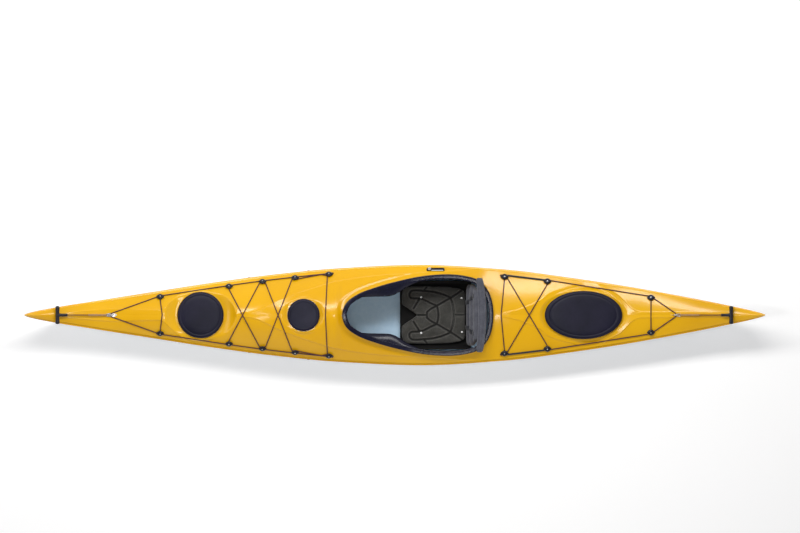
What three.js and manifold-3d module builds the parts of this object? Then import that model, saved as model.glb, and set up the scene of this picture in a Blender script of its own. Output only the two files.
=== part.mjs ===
// A hard-shell touring kayak, in millimetres, with +Z up.
// The origin is on the keel's underside at the middle of the length. The bow points to -X and starboard is +Y.

import * as THREE from 'three';
import { mergeVertices } from 'three/addons/utils/BufferGeometryUtils.js';
import Module from 'manifold-3d';

const wasm = await Module();
wasm.setup();

// ---------- driving dimensions ----------

const LENGTH = 4270;
const WALL = 5; // moulded hull and deck
const GAP = 0.3; // between pieces that touch
const STATIONS = 38; // along the hull and the deck
const HALF = LENGTH / 2;

// Half of the beam at the seam between hull and deck, along X.
const halfBeam = profile([
  [-HALF, 4], [-2110, 13], [-1942, 47], [-1725, 82], [-1381, 136], [-1038, 189], [-682, 236], [-325, 270],
  [150, 290], [625, 264], [981, 220], [1331, 167], [1677, 105], [1894, 62], [2106, 14], [HALF, 4],
]);
// Height of the seam.
const seamZ = profile([
  [-HALF, 316], [-2025, 282], [-1918, 260], [-1692, 231], [-1466, 209], [-1127, 192], [-500, 187],
  [400, 188], [905, 192], [1357, 203], [1696, 220], [1922, 248], [2034, 277], [HALF, 305],
]);
// Underside of the keel, rising into the stem and the stern.
const keelZ = profile([
  [-HALF, 306], [-2110, 254], [-2053, 186], [-1997, 124], [-1918, 79], [-1805, 51], [-1579, 28], [-1240, 11],
  [-900, 0], [340, 0], [792, 14], [1131, 28], [1357, 45], [1707, 69], [1941, 90], [2006, 115], [2065, 156],
  [2110, 223], [HALF, 296],
]);
// Top of the deck on the centre line. Across the cockpit it is the crown that the deck would have.
const crownZ = profile([
  [-HALF, 334], [-2056, 319], [-1945, 289], [-1840, 276], [-1660, 269], [-1408, 278], [-1200, 284], [-983, 297],
  [-904, 315], [-731, 326], [-530, 336], [-407, 338], [-346, 343], [-300, 330], [0, 332], [250, 325], [450, 288],
  [560, 258], [640, 262], [886, 252], [1100, 247], [1344, 249], [1584, 255], [1817, 268], [1966, 283], [HALF, 330],
]);
// 1 where the section is full and round-bilged, 0 where it is a sharp V.
const fullness = profile([[-HALF, 0], [-1700, 0.25], [-1200, 0.7], [-700, 1], [700, 1], [1300, 0.7], [1750, 0.25], [HALF, 0]]);

// The cockpit coaming's outer edge: half of its width along X, and the height of its top.
const COAMING_OUTLINE = [
  [-304, 0], [-281, 69], [-212, 121], [-108, 161], [30, 199], [168, 226], [310, 235], [410, 225], [485, 200], [545, 128], [569, 0],
];
const coamingTop = profile([[-304, 357], [-227, 335], [-119, 310], [2, 292], [105, 280], [321, 273], [569, 273]]);
const COAMING_LIP = 27; // width of the lip
const COAMING_THICKNESS = 5;
const RISER_INSET = 18; // from the lip's edge in to the deck's riser
const RISER_WALL = 4.5;
// Free half-width between the two thigh braces.
const braceInner = profile([
  [-192, 100], [-175, 103.5], [-140, 105.5], [-81, 106], [-34, 107.5], [13, 123], [49, 149], [96, 174], [130, 188],
]);

const HATCHES = {
  front: { x: -1120, radius: 133.5, stretch: 1, floor: 248, height: 24, flat: [165, 200, 139] },
  day: { x: -526, radius: 93.5, stretch: 1, floor: 318, height: 18, flat: [110, 110, 104] },
  rear: { x: 1088, radius: 139, stretch: 1.61, floor: 240, height: 26, flat: [250, 240, 145] },
};

const FRONT_BULKHEAD = -880;
const REAR_BULKHEAD = 600;

// Deck fittings on each side: distance along X and off the centre line.
const BOW_FITTINGS = [[-1353, 101], [-956, 161], [-763, 188], [-575, 210], [-380, 230]];
const STERN_FITTINGS = [[633, 218], [880, 192], [1477, 98]];
const PAD_EYES = { bow: -1636, stern: 1620 };
const TOGGLES = { bow: -1945, stern: 1940 };
const LINE_RADIUS = 2.6;
const POST_RADIUS = 4.5; // the post of a fitting, which its lines pass
const POST_PASS = POST_RADIUS + LINE_RADIUS + 1.8;
const LINE_HEIGHT = LINE_RADIUS + 1.6; // a line's centre over the deck

const SKEG_PIVOT = [1398, 64];
const SKEG_BOX = { from: 1368, to: 1722, top: 178, halfWidth: 11, wall: 4 };
const SKEG_TRACK = { x: 235, y: 260, length: 104, width: 22, travel: 70 };

// ---------- colours ----------

const looks = {
  hull: { color: 0xe9edf0, roughness: 0.35, metalness: 0 },
  deck: { color: 0xf2bf14, roughness: 0.3, metalness: 0 },
  black: { color: 0x20202c, roughness: 0.45, metalness: 0 },
  foam: { color: 0x7d8791, roughness: 0.8, metalness: 0 },
  seat: { color: 0x40403e, roughness: 0.8, metalness: 0 },
  back: { color: 0x54565f, roughness: 0.85, metalness: 0 },
  strap: { color: 0x2b2e38, roughness: 0.8, metalness: 0 },
  steel: { color: 0xb9bcc0, roughness: 0.3, metalness: 1 },
  line: { color: 0x3a120c, roughness: 0.8, metalness: 0 },
};

// ---------- helpers ----------

// A smooth curve through [x, value] pairs that never overshoots them, flat outside.
function profile(points) {
  const last = points.length - 1;
  const rise = (i) => (points[i + 1][1] - points[i][1]) / (points[i + 1][0] - points[i][0]);
  const slope = (i) => {
    if (i === 0) return rise(0);
    if (i === last) return rise(last - 1);
    const [before, after] = [rise(i - 1), rise(i)];
    return before * after <= 0 ? 0 : (2 * before * after) / (before + after);
  };
  return (x) => {
    if (x <= points[0][0]) return points[0][1];
    if (x >= points[last][0]) return points[last][1];
    const i = points.findIndex((point) => x < point[0]) - 1;
    const span = points[i + 1][0] - points[i][0];
    const u = (x - points[i][0]) / span;
    const ends = points[i][1] * (1 + 2 * u) * (1 - u) ** 2 + points[i + 1][1] * (3 - 2 * u) * u ** 2;
    return ends + span * u * (1 - u) * (slope(i) * (1 - u) - slope(i + 1) * u);
  };
}

const spread = (from, to, count) => Array.from({ length: count + 1 }, (_, i) => from + ((to - from) * i) / count);
const mirrored = (points) => points.map(([x, y, z]) => [x, -y, z]);

// Turns a closed geometry's faces outwards.
function outward(geometry) {
  const position = geometry.getAttribute('position');
  const corner = (n) => new THREE.Vector3().fromBufferAttribute(position, geometry.index.getX(n));
  let volume = 0;
  for (let n = 0; n < geometry.index.count; n += 3) volume += corner(n).dot(corner(n + 1).cross(corner(n + 2)));
  if (volume < 0) geometry.setIndex([...geometry.index.array].reverse());
  return geometry;
}

function indexed(points, faces) {
  const geometry = new THREE.BufferGeometry();
  geometry.setAttribute('position', new THREE.Float32BufferAttribute(points.flat(), 3));
  geometry.setIndex(faces.flat());
  return outward(geometry);
}

// A skin through rings of points. Its ends are flat caps, or it joins up when it is closed.
function loft(rings, closed = false) {
  const count = rings[0].length;
  const faces = [];
  const bands = closed ? rings.length : rings.length - 1;
  for (let band = 0; band < bands; band++) {
    const [here, next] = [band * count, ((band + 1) % rings.length) * count];
    for (let i = 0; i < count; i++) {
      const j = (i + 1) % count;
      faces.push([here + i, here + j, next + j], [here + i, next + j, next + i]);
    }
  }
  if (!closed) faces.push(...cap(rings[0], 0, false), ...cap(rings.at(-1), bands * count, true));
  return indexed(rings.flat(), faces);
}

// The triangles of a flat ring whose first point has the number first, in the ring's turn or against it.
function cap(ring, first, forward) {
  const views = [[1, 2], [2, 0], [0, 1]].map((axes) => ring.map((point) => new THREE.Vector2(point[axes[0]], point[axes[1]])));
  const areas = views.map((view) => THREE.ShapeUtils.area(view));
  const widest = areas.reduce((best, area, n) => (Math.abs(area) > Math.abs(areas[best]) ? n : best), 0);
  return THREE.ShapeUtils.triangulateShape(views[widest], []).map((face) => {
    const along = THREE.ShapeUtils.area(face.map((n) => views[widest][n])) * areas[widest] > 0;
    const numbered = face.map((n) => n + first);
    return along === forward ? numbered : numbered.reverse();
  });
}

function toSolid(geometry) {
  const bare = geometry.clone();
  for (const name of Object.keys(bare.attributes)) {
    if (name !== 'position') bare.deleteAttribute(name);
  }
  const merged = mergeVertices(bare, 1e-4);
  const corners = merged.index.array;
  const kept = [];
  for (let n = 0; n < corners.length; n += 3) {
    const [a, b, c] = corners.slice(n, n + 3);
    if (a !== b && b !== c && c !== a) kept.push(a, b, c);
  }
  const vertProperties = new Float32Array(merged.getAttribute('position').array);
  return new wasm.Manifold(new wasm.Mesh({ numProp: 3, vertProperties, triVerts: new Uint32Array(kept) }));
}

function toGeometry(solid) {
  const { vertProperties, triVerts } = solid.getMesh();
  const geometry = new THREE.BufferGeometry();
  geometry.setAttribute('position', new THREE.Float32BufferAttribute(vertProperties, 3));
  geometry.setIndex([...triVerts]);
  return geometry;
}

const join = (...solids) => solids.reduce((whole, solid) => whole.add(solid));
const cut = (solid, ...tools) => tools.reduce((whole, tool) => whole.subtract(tool), solid);

function box(from, to) {
  const geometry = new THREE.BoxGeometry(...to.map((high, n) => high - from[n]));
  return geometry.translate(...to.map((high, n) => (high + from[n]) / 2));
}

function cylinder(radius, from, to, sides = 16) {
  const [start, end] = [new THREE.Vector3(...from), new THREE.Vector3(...to)];
  const geometry = new THREE.CylinderGeometry(radius, radius, start.distanceTo(end), sides);
  const turn = new THREE.Quaternion().setFromUnitVectors(new THREE.Vector3(0, 1, 0), end.clone().sub(start).normalize());
  return geometry.applyQuaternion(turn).translate(...start.add(end).multiplyScalar(0.5).toArray());
}

// An upright prism on a closed outline of [x, y] points.
const prism = (outline, from, to) => loft([from, to].map((z) => outline.map(([x, y]) => [x, y, z])));

// A turned shape about +Z from [radius, z] pairs.
function turned(points, sides = 24) {
  return outward(new THREE.LatheGeometry(points.map(([r, z]) => new THREE.Vector2(r, z)), sides).rotateX(Math.PI / 2));
}

// A round line through points, none of whose stretches stands upright.
function line(points, radius = LINE_RADIUS, sides = 8) {
  const spots = points.map((point) => new THREE.Vector3(...point));
  const rings = spots.map((spot, n) => {
    const along = spots[Math.min(n + 1, spots.length - 1)].clone().sub(spots[Math.max(n - 1, 0)]).normalize();
    const across = new THREE.Vector3(0, 0, 1).cross(along).normalize();
    const up = along.clone().cross(across);
    return spread(0, 2 * Math.PI, sides).slice(1).map((a) => {
      const [reach, lift] = [radius * Math.cos(a), radius * Math.sin(a)];
      return spot.clone().addScaledVector(across, reach).addScaledVector(up, lift).toArray();
    });
  });
  return loft(rings);
}

// ---------- the two shells ----------

// More stations near the ends, where the outline bends most.
const stationX = (i) => HALF * 0.5 * (Math.sin((Math.PI * (2 * i - STATIONS)) / (2 * STATIONS)) + (2 * i - STATIONS) / STATIONS);
const stations = Array.from({ length: STATIONS + 1 }, (_, i) => stationX(i));

// Half of the hull's section at x from the keel up to the seam, as [y, z]. inset moves it inwards.
function hullHalf(x, steps, inset = 0) {
  const full = fullness(x);
  const [rise, reach] = [2 / (1.4 + 2.6 * full), 2 / (1 + 0.6 * full)];
  const flat = 2 + 26 * full;
  const beam = halfBeam(x) - inset;
  const [low, high] = [keelZ(x) + inset, seamZ(x)];
  return spread(0, Math.PI / 2, steps).map((a) => [
    Math.min(flat, beam / 2) + (beam - Math.min(flat, beam / 2)) * Math.sin(a) ** reach,
    high - (high - low) * Math.max(Math.cos(a), 0) ** rise,
  ]);
}

// The hull's half-width at a height.
function hullWidth(x, z, inset = 0) {
  const half = hullHalf(x, 90, inset);
  return half.find((point) => point[1] >= z)?.[0] ?? halfBeam(x) - inset;
}

const around = (x, half) => [...half.map(([y, z]) => [x, y, z]), ...half.map(([y, z]) => [x, -y, z]).reverse()];

// The deck's height off the centre line.
function deckZ(x, y) {
  const edge = Math.min(17, 0.35 * (crownZ(x) - seamZ(x)));
  const across = Math.min(Math.abs(y) / (halfBeam(x) - 2), 1);
  return seamZ(x) + edge + (crownZ(x) - seamZ(x) - edge) * (1 - across ** 1.6);
}

// Half of the deck's section from the seam to the crown.
function deckHalf(x, steps, inset = 0) {
  const beam = halfBeam(x) - 2;
  const crown = spread(1, 0, steps).map((share) => [
    Math.max(beam * share ** 0.8 - inset, 0),
    deckZ(x, beam * share ** 0.8) - inset,
  ]);
  return [[halfBeam(x) - inset, seamZ(x) + (inset ? -14 : GAP)], ...crown];
}

function deckRing(x, steps, inset = 0) {
  const half = deckHalf(x, steps, inset);
  return [...half.map(([y, z]) => [x, y, z]), ...half.slice(0, -1).map(([y, z]) => [x, -y, z]).reverse()];
}

const INNER_END = 2010;
const innerStations = stations.filter((x) => Math.abs(x) < INNER_END);

// An egg-shaped outline on the deck: reaches fore and aft of x, and half its width.
function egg(x, [fore, aft, width], grow = 0) {
  return spread(0, 2 * Math.PI, 20).slice(1).map((a) => [
    x + (Math.cos(a) < 0 ? fore + grow : aft + grow) * Math.cos(a),
    (width + grow) * Math.sin(a),
  ]);
}

// The coaming's outline, moved inwards by inset.
function coamingEdge(inset = 0, count = 40) {
  const other = COAMING_OUTLINE.slice(1, -1).reverse().map(([x, y]) => [x, -y]);
  const points = [...COAMING_OUTLINE, ...other].map(([x, y]) => new THREE.Vector3(x, y, 0));
  const curve = new THREE.CatmullRomCurve3(points, true, 'centripetal');
  return spread(0, 1, count).slice(0, count).map((u) => {
    const [point, along] = [curve.getPointAt(u), curve.getTangentAt(u)];
    return { x: point.x + inset * along.y, y: point.y - inset * along.x, top: coamingTop(point.x) };
  });
}

// A closed ring round the cockpit. section gives [inset, z] corners from the height of the lip's top.
function cockpitRing(section) {
  const edges = section(0).map(([inset]) => coamingEdge(inset));
  const rings = edges[0].map((_, n) =>
    edges.map((edge, corner) => [edge[n].x, edge[n].y, section(edge[n].top, edge[n])[corner][1]]),
  );
  return loft(rings, true);
}

// The hull is one moulding, given in three lengths that meet at the bulkheads.
function hullLengths() {
  const outer = toSolid(loft(stations.map((x) => around(x, hullHalf(x, 7)))));
  const inner = toSolid(loft(innerStations.map((x) => {
    const half = hullHalf(x, 6, WALL);
    return around(x, [...half, [half.at(-1)[0], seamZ(x) + 20]]);
  })));
  const slot = SKEG_BOX.halfWidth + GAP;
  const skegSlot = toSolid(box([SKEG_BOX.from - GAP, -slot, 0], [SKEG_BOX.to + GAP, slot, SKEG_BOX.top + GAP]));
  const screws = railScrewPlaces().flatMap(([x, z]) => [1, -1].map((side) => {
    const y = side * hullWidth(x, z);
    return toSolid(cylinder(RAIL.screw + 0.4, [x, y - 30, z], [x, y + 30, z], 12));
  }));
  const hull = cut(outer, inner, skegSlot, ...screws);
  const length = (from, to) => toGeometry(hull.intersect(toSolid(box([from, -HALF, -100], [to, HALF, 500]))));
  return {
    bow: length(-HALF - 10, FRONT_BULKHEAD - GAP / 2),
    middle: length(FRONT_BULKHEAD + GAP / 2, REAR_BULKHEAD - GAP / 2),
    stern: length(REAR_BULKHEAD + GAP / 2, HALF + 10),
  };
}

function deckShell() {
  let outer = toSolid(loft(stations.map((x) => deckRing(x, 5))));
  let inner = toSolid(loft(innerStations.map((x) => deckRing(x, 5, WALL))));
  for (const { x, flat, floor } of Object.values(HATCHES)) {
    outer = join(cut(outer, toSolid(prism(egg(x, flat), floor, 400))), toSolid(prism(egg(x, flat), seamZ(x) + 22, floor)));
    inner = join(
      cut(inner, toSolid(prism(egg(x, flat, WALL), floor - WALL, 400))),
      toSolid(prism(egg(x, flat, -WALL), seamZ(x), floor - WALL)),
    );
  }
  const [from, to] = [RISER_INSET, RISER_INSET + RISER_WALL];
  const under = COAMING_THICKNESS + 2;
  const riser = toSolid(cockpitRing((top, at) => [
    [from, top - under],
    [to + 3, top - under],
    [to + 3, at ? deckZ(at.x, at.y) - 3 : 0],
    [from, at ? deckZ(at.x, at.y) - 3 : 0],
  ]));
  const cockpit = toSolid(prism(coamingEdge(to).map(({ x, y }) => [x, y]), 100, 420));
  const holes = Object.values(HATCHES).map(({ x, radius, stretch }) =>
    toSolid(turned([[0, 100], [radius - 30, 100], [radius - 30, 420], [0, 420]]).scale(stretch, 1, 1).translate(x, 0, 0)),
  );
  const { x, y, length } = SKEG_TRACK;
  const spot = onDeck(x, y);
  const opening = box([-length / 2 + 9, -3.4, -30], [length / 2 - 9, 3.4, 30]).rotateX(-spot.lean).translate(...spot.point(0, 0));
  return toGeometry(cut(join(cut(outer, inner), riser), cockpit, toSolid(opening), ...holes));
}

function bulkhead(x, thickness) {
  const clear = WALL + 6;
  const hull = hullHalf(x, 8, clear);
  const deck = deckHalf(x, 6, clear).slice(1);
  const half = [...hull.slice(0, -1), [Math.min(hull.at(-1)[0], deck[0][0]), seamZ(x)], ...deck.slice(1)];
  const ring = (at) => [...half.map(([y, z]) => [at, y, z]), ...half.slice(0, -1).map(([y, z]) => [at, -y, z]).reverse()];
  return loft([ring(x - thickness / 2), ring(x + thickness / 2)]);
}

function rearBulkhead() {
  const [, ...spots] = SKEG_CABLE;
  const through = spots.find(([x]) => x === REAR_BULKHEAD);
  const hole = cylinder(8, [through[0] - 30, through[1], through[2]], [through[0] + 30, through[1], through[2]], 12);
  return toGeometry(cut(toSolid(bulkhead(REAR_BULKHEAD, 14)), toSolid(hole)));
}

// ---------- cockpit ----------

function cockpitCoaming() {
  const inner = COAMING_LIP - 3;
  const lip = cockpitRing((top) => [[0, top], [COAMING_LIP, top], [COAMING_LIP, top - COAMING_THICKNESS], [0, top - COAMING_THICKNESS]]);
  const wallTop = (top) => top - 1;
  const wall = cockpitRing((top) => [
    [inner - 1, wallTop(top)], [COAMING_LIP, wallTop(top)], [COAMING_LIP, top - 38], [inner - 1, top - 38],
  ]);
  const inside = coamingEdge(inner + 1).filter(({ y }) => y > 0).sort((here, next) => here.x - next.x);
  const halfWidth = profile(inside.map(({ x, y }) => [x, y]));
  const brace = (side) => loft(spread(-190, 128, 11).map((x) => {
    const [z0, z1] = [coamingTop(x) - 15, coamingTop(x) - 5.6];
    return [[x, side * braceInner(x), z0], [x, side * halfWidth(x), z1], [x, side * halfWidth(x), z1 - 5],
      [x, side * braceInner(x), z0 - 5]];
  }));
  return toGeometry(join(toSolid(lip), toSolid(wall), toSolid(brace(1)), toSolid(brace(-1))));
}

// A pad whose section is a rounded slab: half-width, underside and top along X.
function slab(rows, corner) {
  return loft(rows.map(([x, width, low, high]) => [
    [x, -width, low + corner], [x, -width + corner, low], [x, width - corner, low], [x, width, low + corner],
    [x, width, high - corner], [x, width - corner, high], [x, -width + corner, high], [x, -width, high - corner],
  ]));
}

const SEAT = { front: 41, back: 405, halfWidth: 165, bottom: 30, thickness: 36 };

// The pad rises a little under the thighs, and is cut to a V between them.
function seatPad() {
  const { front, back, halfWidth, bottom, thickness } = SEAT;
  const lift = profile([[front, 18], [200, 4], [back, 8]]);
  const body = slab(spread(front, back, 6).map((x) => [x, halfWidth, bottom + lift(x), bottom + lift(x) + thickness]), 8);
  const notch = prism([[front - 5, -49], [122, 0], [front - 5, 49]], 0, 200);
  return toGeometry(cut(toSolid(body), toSolid(notch)));
}

// A tray under the pad whose sides rise to the hips.
function seatPan() {
  const lift = profile([[SEAT.front, 18], [200, 4], [SEAT.back, 8]]);
  const rows = spread(30, 418, 6).map((x) => {
    const [low, hip] = [SEAT.bottom - 5 - GAP + lift(x), 168 - 0.1 * Math.abs(x - 240)];
    const outer = [[-196, hip], [-188, 72], [-168, low], [168, low], [188, 72], [196, hip]];
    const lining = [[191, hip], [183, 75], [166, low + 5], [-166, low + 5], [-183, 75], [-191, hip]];
    return [...outer, ...lining].map(([y, z]) => [x, y, z]);
  });
  return loft(rows);
}

const BACKREST = { x: 452, z: 202, tilt: 20, height: 178, thickness: 36, halfWidth: 176, neck: 138, bandHalfWidth: 214 };
const backTilt = THREE.MathUtils.degToRad(BACKREST.tilt);
const leanBack = (geometry) => geometry.rotateY(backTilt).translate(BACKREST.x, 0, BACKREST.z);

// A padded back that narrows to pass the coaming, under a wider band that bows aft over it.
function backrest() {
  const { height, thickness, halfWidth, neck, bandHalfWidth } = BACKREST;
  const [bottom, top] = [-height / 2, height / 2];
  const side = [[halfWidth - 14, bottom], [halfWidth, bottom + 14], [halfWidth, 8], [neck, 50], [neck, top]];
  const outline = [...side, ...side.map(([y, z]) => [-y, z]).reverse()];
  const slabRings = [-thickness / 2, thickness / 2].map((x) => outline.map(([y, z]) => [x, y, z]));
  const bow = (y) => 20 * (1 - (y / bandHalfWidth) ** 2);
  const ys = spread(-bandHalfWidth, bandHalfWidth, 8);
  const fore = ys.map((y) => [468 + 0.6 * bow(y), y]);
  const back = ys.map((y) => [508 + bow(y), y]).reverse();
  return toGeometry(join(toSolid(leanBack(loft(slabRings))), toSolid(prism([...fore, ...back], 277.5, 307))));
}

// Webbing down the back's front face.
function backStrap(y) {
  const front = -BACKREST.thickness / 2 - GAP;
  return leanBack(box([front - 2.5, y - 16, -BACKREST.height / 2 + 22], [front, y + 16, BACKREST.height / 2 - 24]));
}

// ---------- hatches ----------

function hatchRim({ x, radius, stretch, floor, height }) {
  const [outer, inner, top] = [radius - 6, radius - 29, floor + height - 10];
  const seat = floor + GAP;
  const shape = [[outer, seat], [outer, top - 2], [outer - 3, top], [inner, top], [inner, seat], [outer, seat]];
  return turned(shape).scale(stretch, 1, 1).translate(x, 0, 0);
}

function hatchCover({ x, radius, stretch, floor, height }) {
  const top = floor + height;
  const skirt = floor + 3;
  return turned([
    [0, top], [radius * 0.5, top - 1.5], [radius * 0.85, top - 5], [radius, top - 10], [radius, skirt],
    [radius - 4, skirt], [radius - 4, top - 9.2], [0, top - 9.2],
  ]).scale(stretch, 1, 1).translate(x, 0, 0);
}

function dayHatchPod() {
  const { x, radius, floor } = HATCHES.day;
  const [outer, bottom, top] = [radius - 8, 205, floor - WALL - GAP];
  return turned([[0, bottom], [outer, bottom], [outer, top], [outer - 3, top], [outer - 3, bottom + 3], [0, bottom + 3]], 24)
    .translate(x, 0, 0);
}

// ---------- skeg ----------

// The box carries the pin that the blade hangs from.
function skegBox() {
  const { from, to, top, halfWidth, wall } = SKEG_BOX;
  const shell = loft([from, to].map((x) => {
    const low = x === from ? 46 : 72;
    return [[x, -halfWidth, low], [x, halfWidth, low], [x, halfWidth, top], [x, -halfWidth, top]];
  }));
  const hollow = box([from + wall, -halfWidth + wall, 0], [to - wall, halfWidth - wall, top - wall]);
  const [px, pz] = SKEG_PIVOT;
  const pin = cylinder(3, [px, -halfWidth + 1, pz], [px, halfWidth - 1, pz], 12);
  const cable = cylinder(4, [from - 10, 0, SKEG_CABLE[0][2]], [from + wall + 2, 0, SKEG_CABLE[0][2]], 12);
  return toGeometry(join(cut(toSolid(shell), toSolid(hollow), toSolid(cable)), toSolid(pin)));
}

// The blade hangs from its pin, with its trailing edge deep and its lower corner rounded.
function skegBlade() {
  const outline = [[1382, 66], [1386, 53], [1600, 10], [1634, 4], [1662, 2.5], [1684, 7], [1702, 24], [1710, 44], [1706, 76], [1690, 84], [1398, 82], [1386, 78]];
  const blade = loft([-4.5, 4.5].map((y) => outline.map(([x, z]) => [x, y, z])));
  const [px, pz] = SKEG_PIVOT;
  return toGeometry(cut(toSolid(blade), toSolid(cylinder(3.2, [px, -20, pz], [px, 20, pz], 12))));
}

function skegTrack() {
  const { length, width } = SKEG_TRACK;
  const frame = box([-length / 2, -width / 2, 1], [length / 2, width / 2, 7]);
  const slot = box([-length / 2 + 10, -3.2, -5], [length / 2 - 10, 3.2, 12]);
  return toGeometry(cut(toSolid(frame), toSolid(slot)));
}

function skegKnob() {
  const cap = turned([[0, 7.6], [9, 7.6], [9.5, 12], [8, 17], [0, 18]], 16);
  const stem = cylinder(2.4, [0, 0, -14], [0, 0, 9], 12);
  return toGeometry(join(toSolid(cap), toSolid(stem)));
}

// The control cable's housing, from the skeg box to under the track.
const SKEG_CABLE = [
  [SKEG_BOX.from + 2, 0, 148], [1330, 6, 150], [1250, 42, 160], [1150, 104, 170], [1050, 146, 174], [940, 176, 172],
  [800, 196, 168], [REAR_BULKHEAD, 212, 166], [480, 232, 170], [380, 243, 180], [310, 246, 191], [SKEG_TRACK.x + 62, 248, 197],
];

// ---------- foot braces ----------

const RAIL = { front: -862, back: -478, z: 130, depth: 10, height: 28, screw: 3.5, off: 9 };
function railScrewPlaces() {
  return [[-841, RAIL.z], [-499, RAIL.z]];
}
const railY = (x) => hullWidth(x, RAIL.z, WALL) - RAIL.off;
const railSlope = (railY(RAIL.back) - railY(RAIL.front)) / (RAIL.back - RAIL.front);

// A bar along the side of the hull.
function footRail(side) {
  const { front, back, z, depth, height } = RAIL;
  return loft([front, back].map((x) => {
    const y = railY(front) + railSlope * (x - front);
    return [[x, side * y, z - height / 2], [x, side * y, z + height / 2], [x, side * (y - depth), z + height / 2],
      [x, side * (y - depth), z - height / 2]];
  }));
}

// A carriage that hugs the rail, with the plate that a foot presses.
function footPedal(side) {
  const { front, z, depth, height } = RAIL;
  const at = -700;
  const inner = (x) => railY(front) + railSlope * (x - front) - depth - 0.8;
  const carriage = loft([at - 40, at + 40].map((x) => {
    const y = inner(x);
    return [[x, side * y, z - height / 2 + 2], [x, side * y, z + height / 2 - 2], [x, side * (y - 12), z + height / 2 - 2],
      [x, side * (y - 12), z - height / 2 + 2]];
  }));
  const y = inner(at);
  const plate = loft([at - 5, at + 5].map((x) => [
    [x, side * (y - 8), z - 40], [x, side * (y - 8), z + 40], [x, side * (y - 28), z + 58], [x, side * (y - 76), z + 58],
    [x, side * (y - 88), z + 40], [x, side * (y - 88), z - 40], [x, side * (y - 76), z - 56], [x, side * (y - 28), z - 56],
  ]));
  return toGeometry(join(toSolid(carriage), toSolid(plate)));
}

function railScrew(x, side) {
  const wall = hullWidth(x, RAIL.z);
  const railFace = railY(RAIL.front) + railSlope * (x - RAIL.front);
  const shank = cylinder(RAIL.screw, [x, side * (railFace + 1), RAIL.z], [x, side * (wall + 3), RAIL.z], 12);
  const head = cylinder(9, [x, side * (wall + 1.6), RAIL.z], [x, side * (wall + 4.4), RAIL.z], 16);
  return toGeometry(join(toSolid(shank), toSolid(head)));
}

// ---------- deck hardware ----------

// A place on the deck: how far it leans sideways there, and points over it.
function onDeck(x, y) {
  const lean = -Math.atan2(deckZ(x, y + 1) - deckZ(x, y - 1), 2);
  const point = (across, up) => [x, y + across * Math.cos(lean) + up * Math.sin(lean), deckZ(x, y) - across * Math.sin(lean) + up * Math.cos(lean)];
  return { x, y, lean, point };
}

// A diamond cap on a round post. Lines run round the post under the cap.
function fitting() {
  const post = cylinder(POST_RADIUS, [0, 0, 1.4], [0, 0, 10], 8);
  const tip = (radius, z) => spread(0, 2 * Math.PI, 12).slice(1).map((a) => {
    const reach = radius / (Math.abs(Math.cos(a)) + Math.abs(Math.sin(a))) ** 0.8;
    return [reach * Math.cos(a), 0.72 * reach * Math.sin(a), z];
  });
  return toGeometry(join(toSolid(post), toSolid(loft([tip(20, 9), tip(20, 11), tip(10, 18)]))));
}

function padEye() {
  const plate = loft([0.9, 3.4].map((z) => egg(0, [33, 33, 12]).map(([x, y]) => [x, y, z])));
  const arch = loft(spread(0, Math.PI, 8).map((a) => spread(0, 2 * Math.PI, 8).slice(1).map((b) => {
    const reach = 16 + 3 * Math.cos(b);
    return [reach * Math.cos(a), 3 * Math.sin(b), 3 + 1.12 * reach * Math.sin(a)];
  })));
  return toGeometry(join(toSolid(plate), toSolid(arch)));
}

// A toggle lies across the bow or the stern. toward is +1 where its cord leads aft.
function toggle(toward) {
  const bar = turned([[0, -52], [9, -52], [12, -47], [12, 47], [9, 52], [0, 52]], 12).rotateX(Math.PI / 2);
  const stem = cylinder(7.5, [0, 0, 0], [toward * 58, 0, 0], 12);
  const stop = cylinder(4, [toward * 50, 0, 0], [toward * 66, 0, 0], 12);
  return toGeometry(cut(join(toSolid(bar), toSolid(stem)), toSolid(stop)));
}

const toggleHeight = (x) => crownZ(x) + 16;
const togglePlace = (end) => [TOGGLES[end], 0, toggleHeight(TOGGLES[end])];

function toggleCord(end) {
  const toward = end === 'bow' ? 1 : -1;
  const [x, , z] = togglePlace(end);
  const eye = PAD_EYES[end] - toward * 22;
  const start = [x + toward * 52, 0, z];
  const stop = [eye, 0, crownZ(eye) + 13];
  const points = spread(0, 1, 3).map((u) => start.map((from, n) => from + (stop[n] - from) * u));
  return line(points, 3);
}

// Points of a line that lies on the deck between two points, never under its surface.
function lay(from, to, { steps = 6, rise = 0 } = {}) {
  return spread(0, 1, steps).slice(1, -1).map((u) => {
    const [x, y, z] = from.map((value, n) => value + (to[n] - value) * u);
    const hump = rise * Math.exp(-((y / 38) ** 2));
    return [x, y, Math.max(z, deckZ(x, y) + LINE_HEIGHT + 1.4) + hump];
  });
}

// Joins stops with stretches that lie on the deck.
function route(stops, options = {}) {
  const points = [stops[0]];
  stops.slice(1).forEach((stop, n) => {
    const far = Math.abs(stop[0] - stops[n][0]) + Math.abs(stop[1] - stops[n][1]) > 20;
    points.push(...(far ? lay(stops[n], stop, options[n]) : []), stop);
  });
  return points;
}

// A point beside a fitting's post: along the deck in X, and inboard of the post or outboard of it.
function besidePost([x, y], side, inboard, along = 0) {
  const place = onDeck(x, side * y);
  const [, py, pz] = place.point(-side * inboard, LINE_HEIGHT);
  return [x + along, py, pz + deckZ(x + along, side * y) - deckZ(x, side * y)];
}

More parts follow.
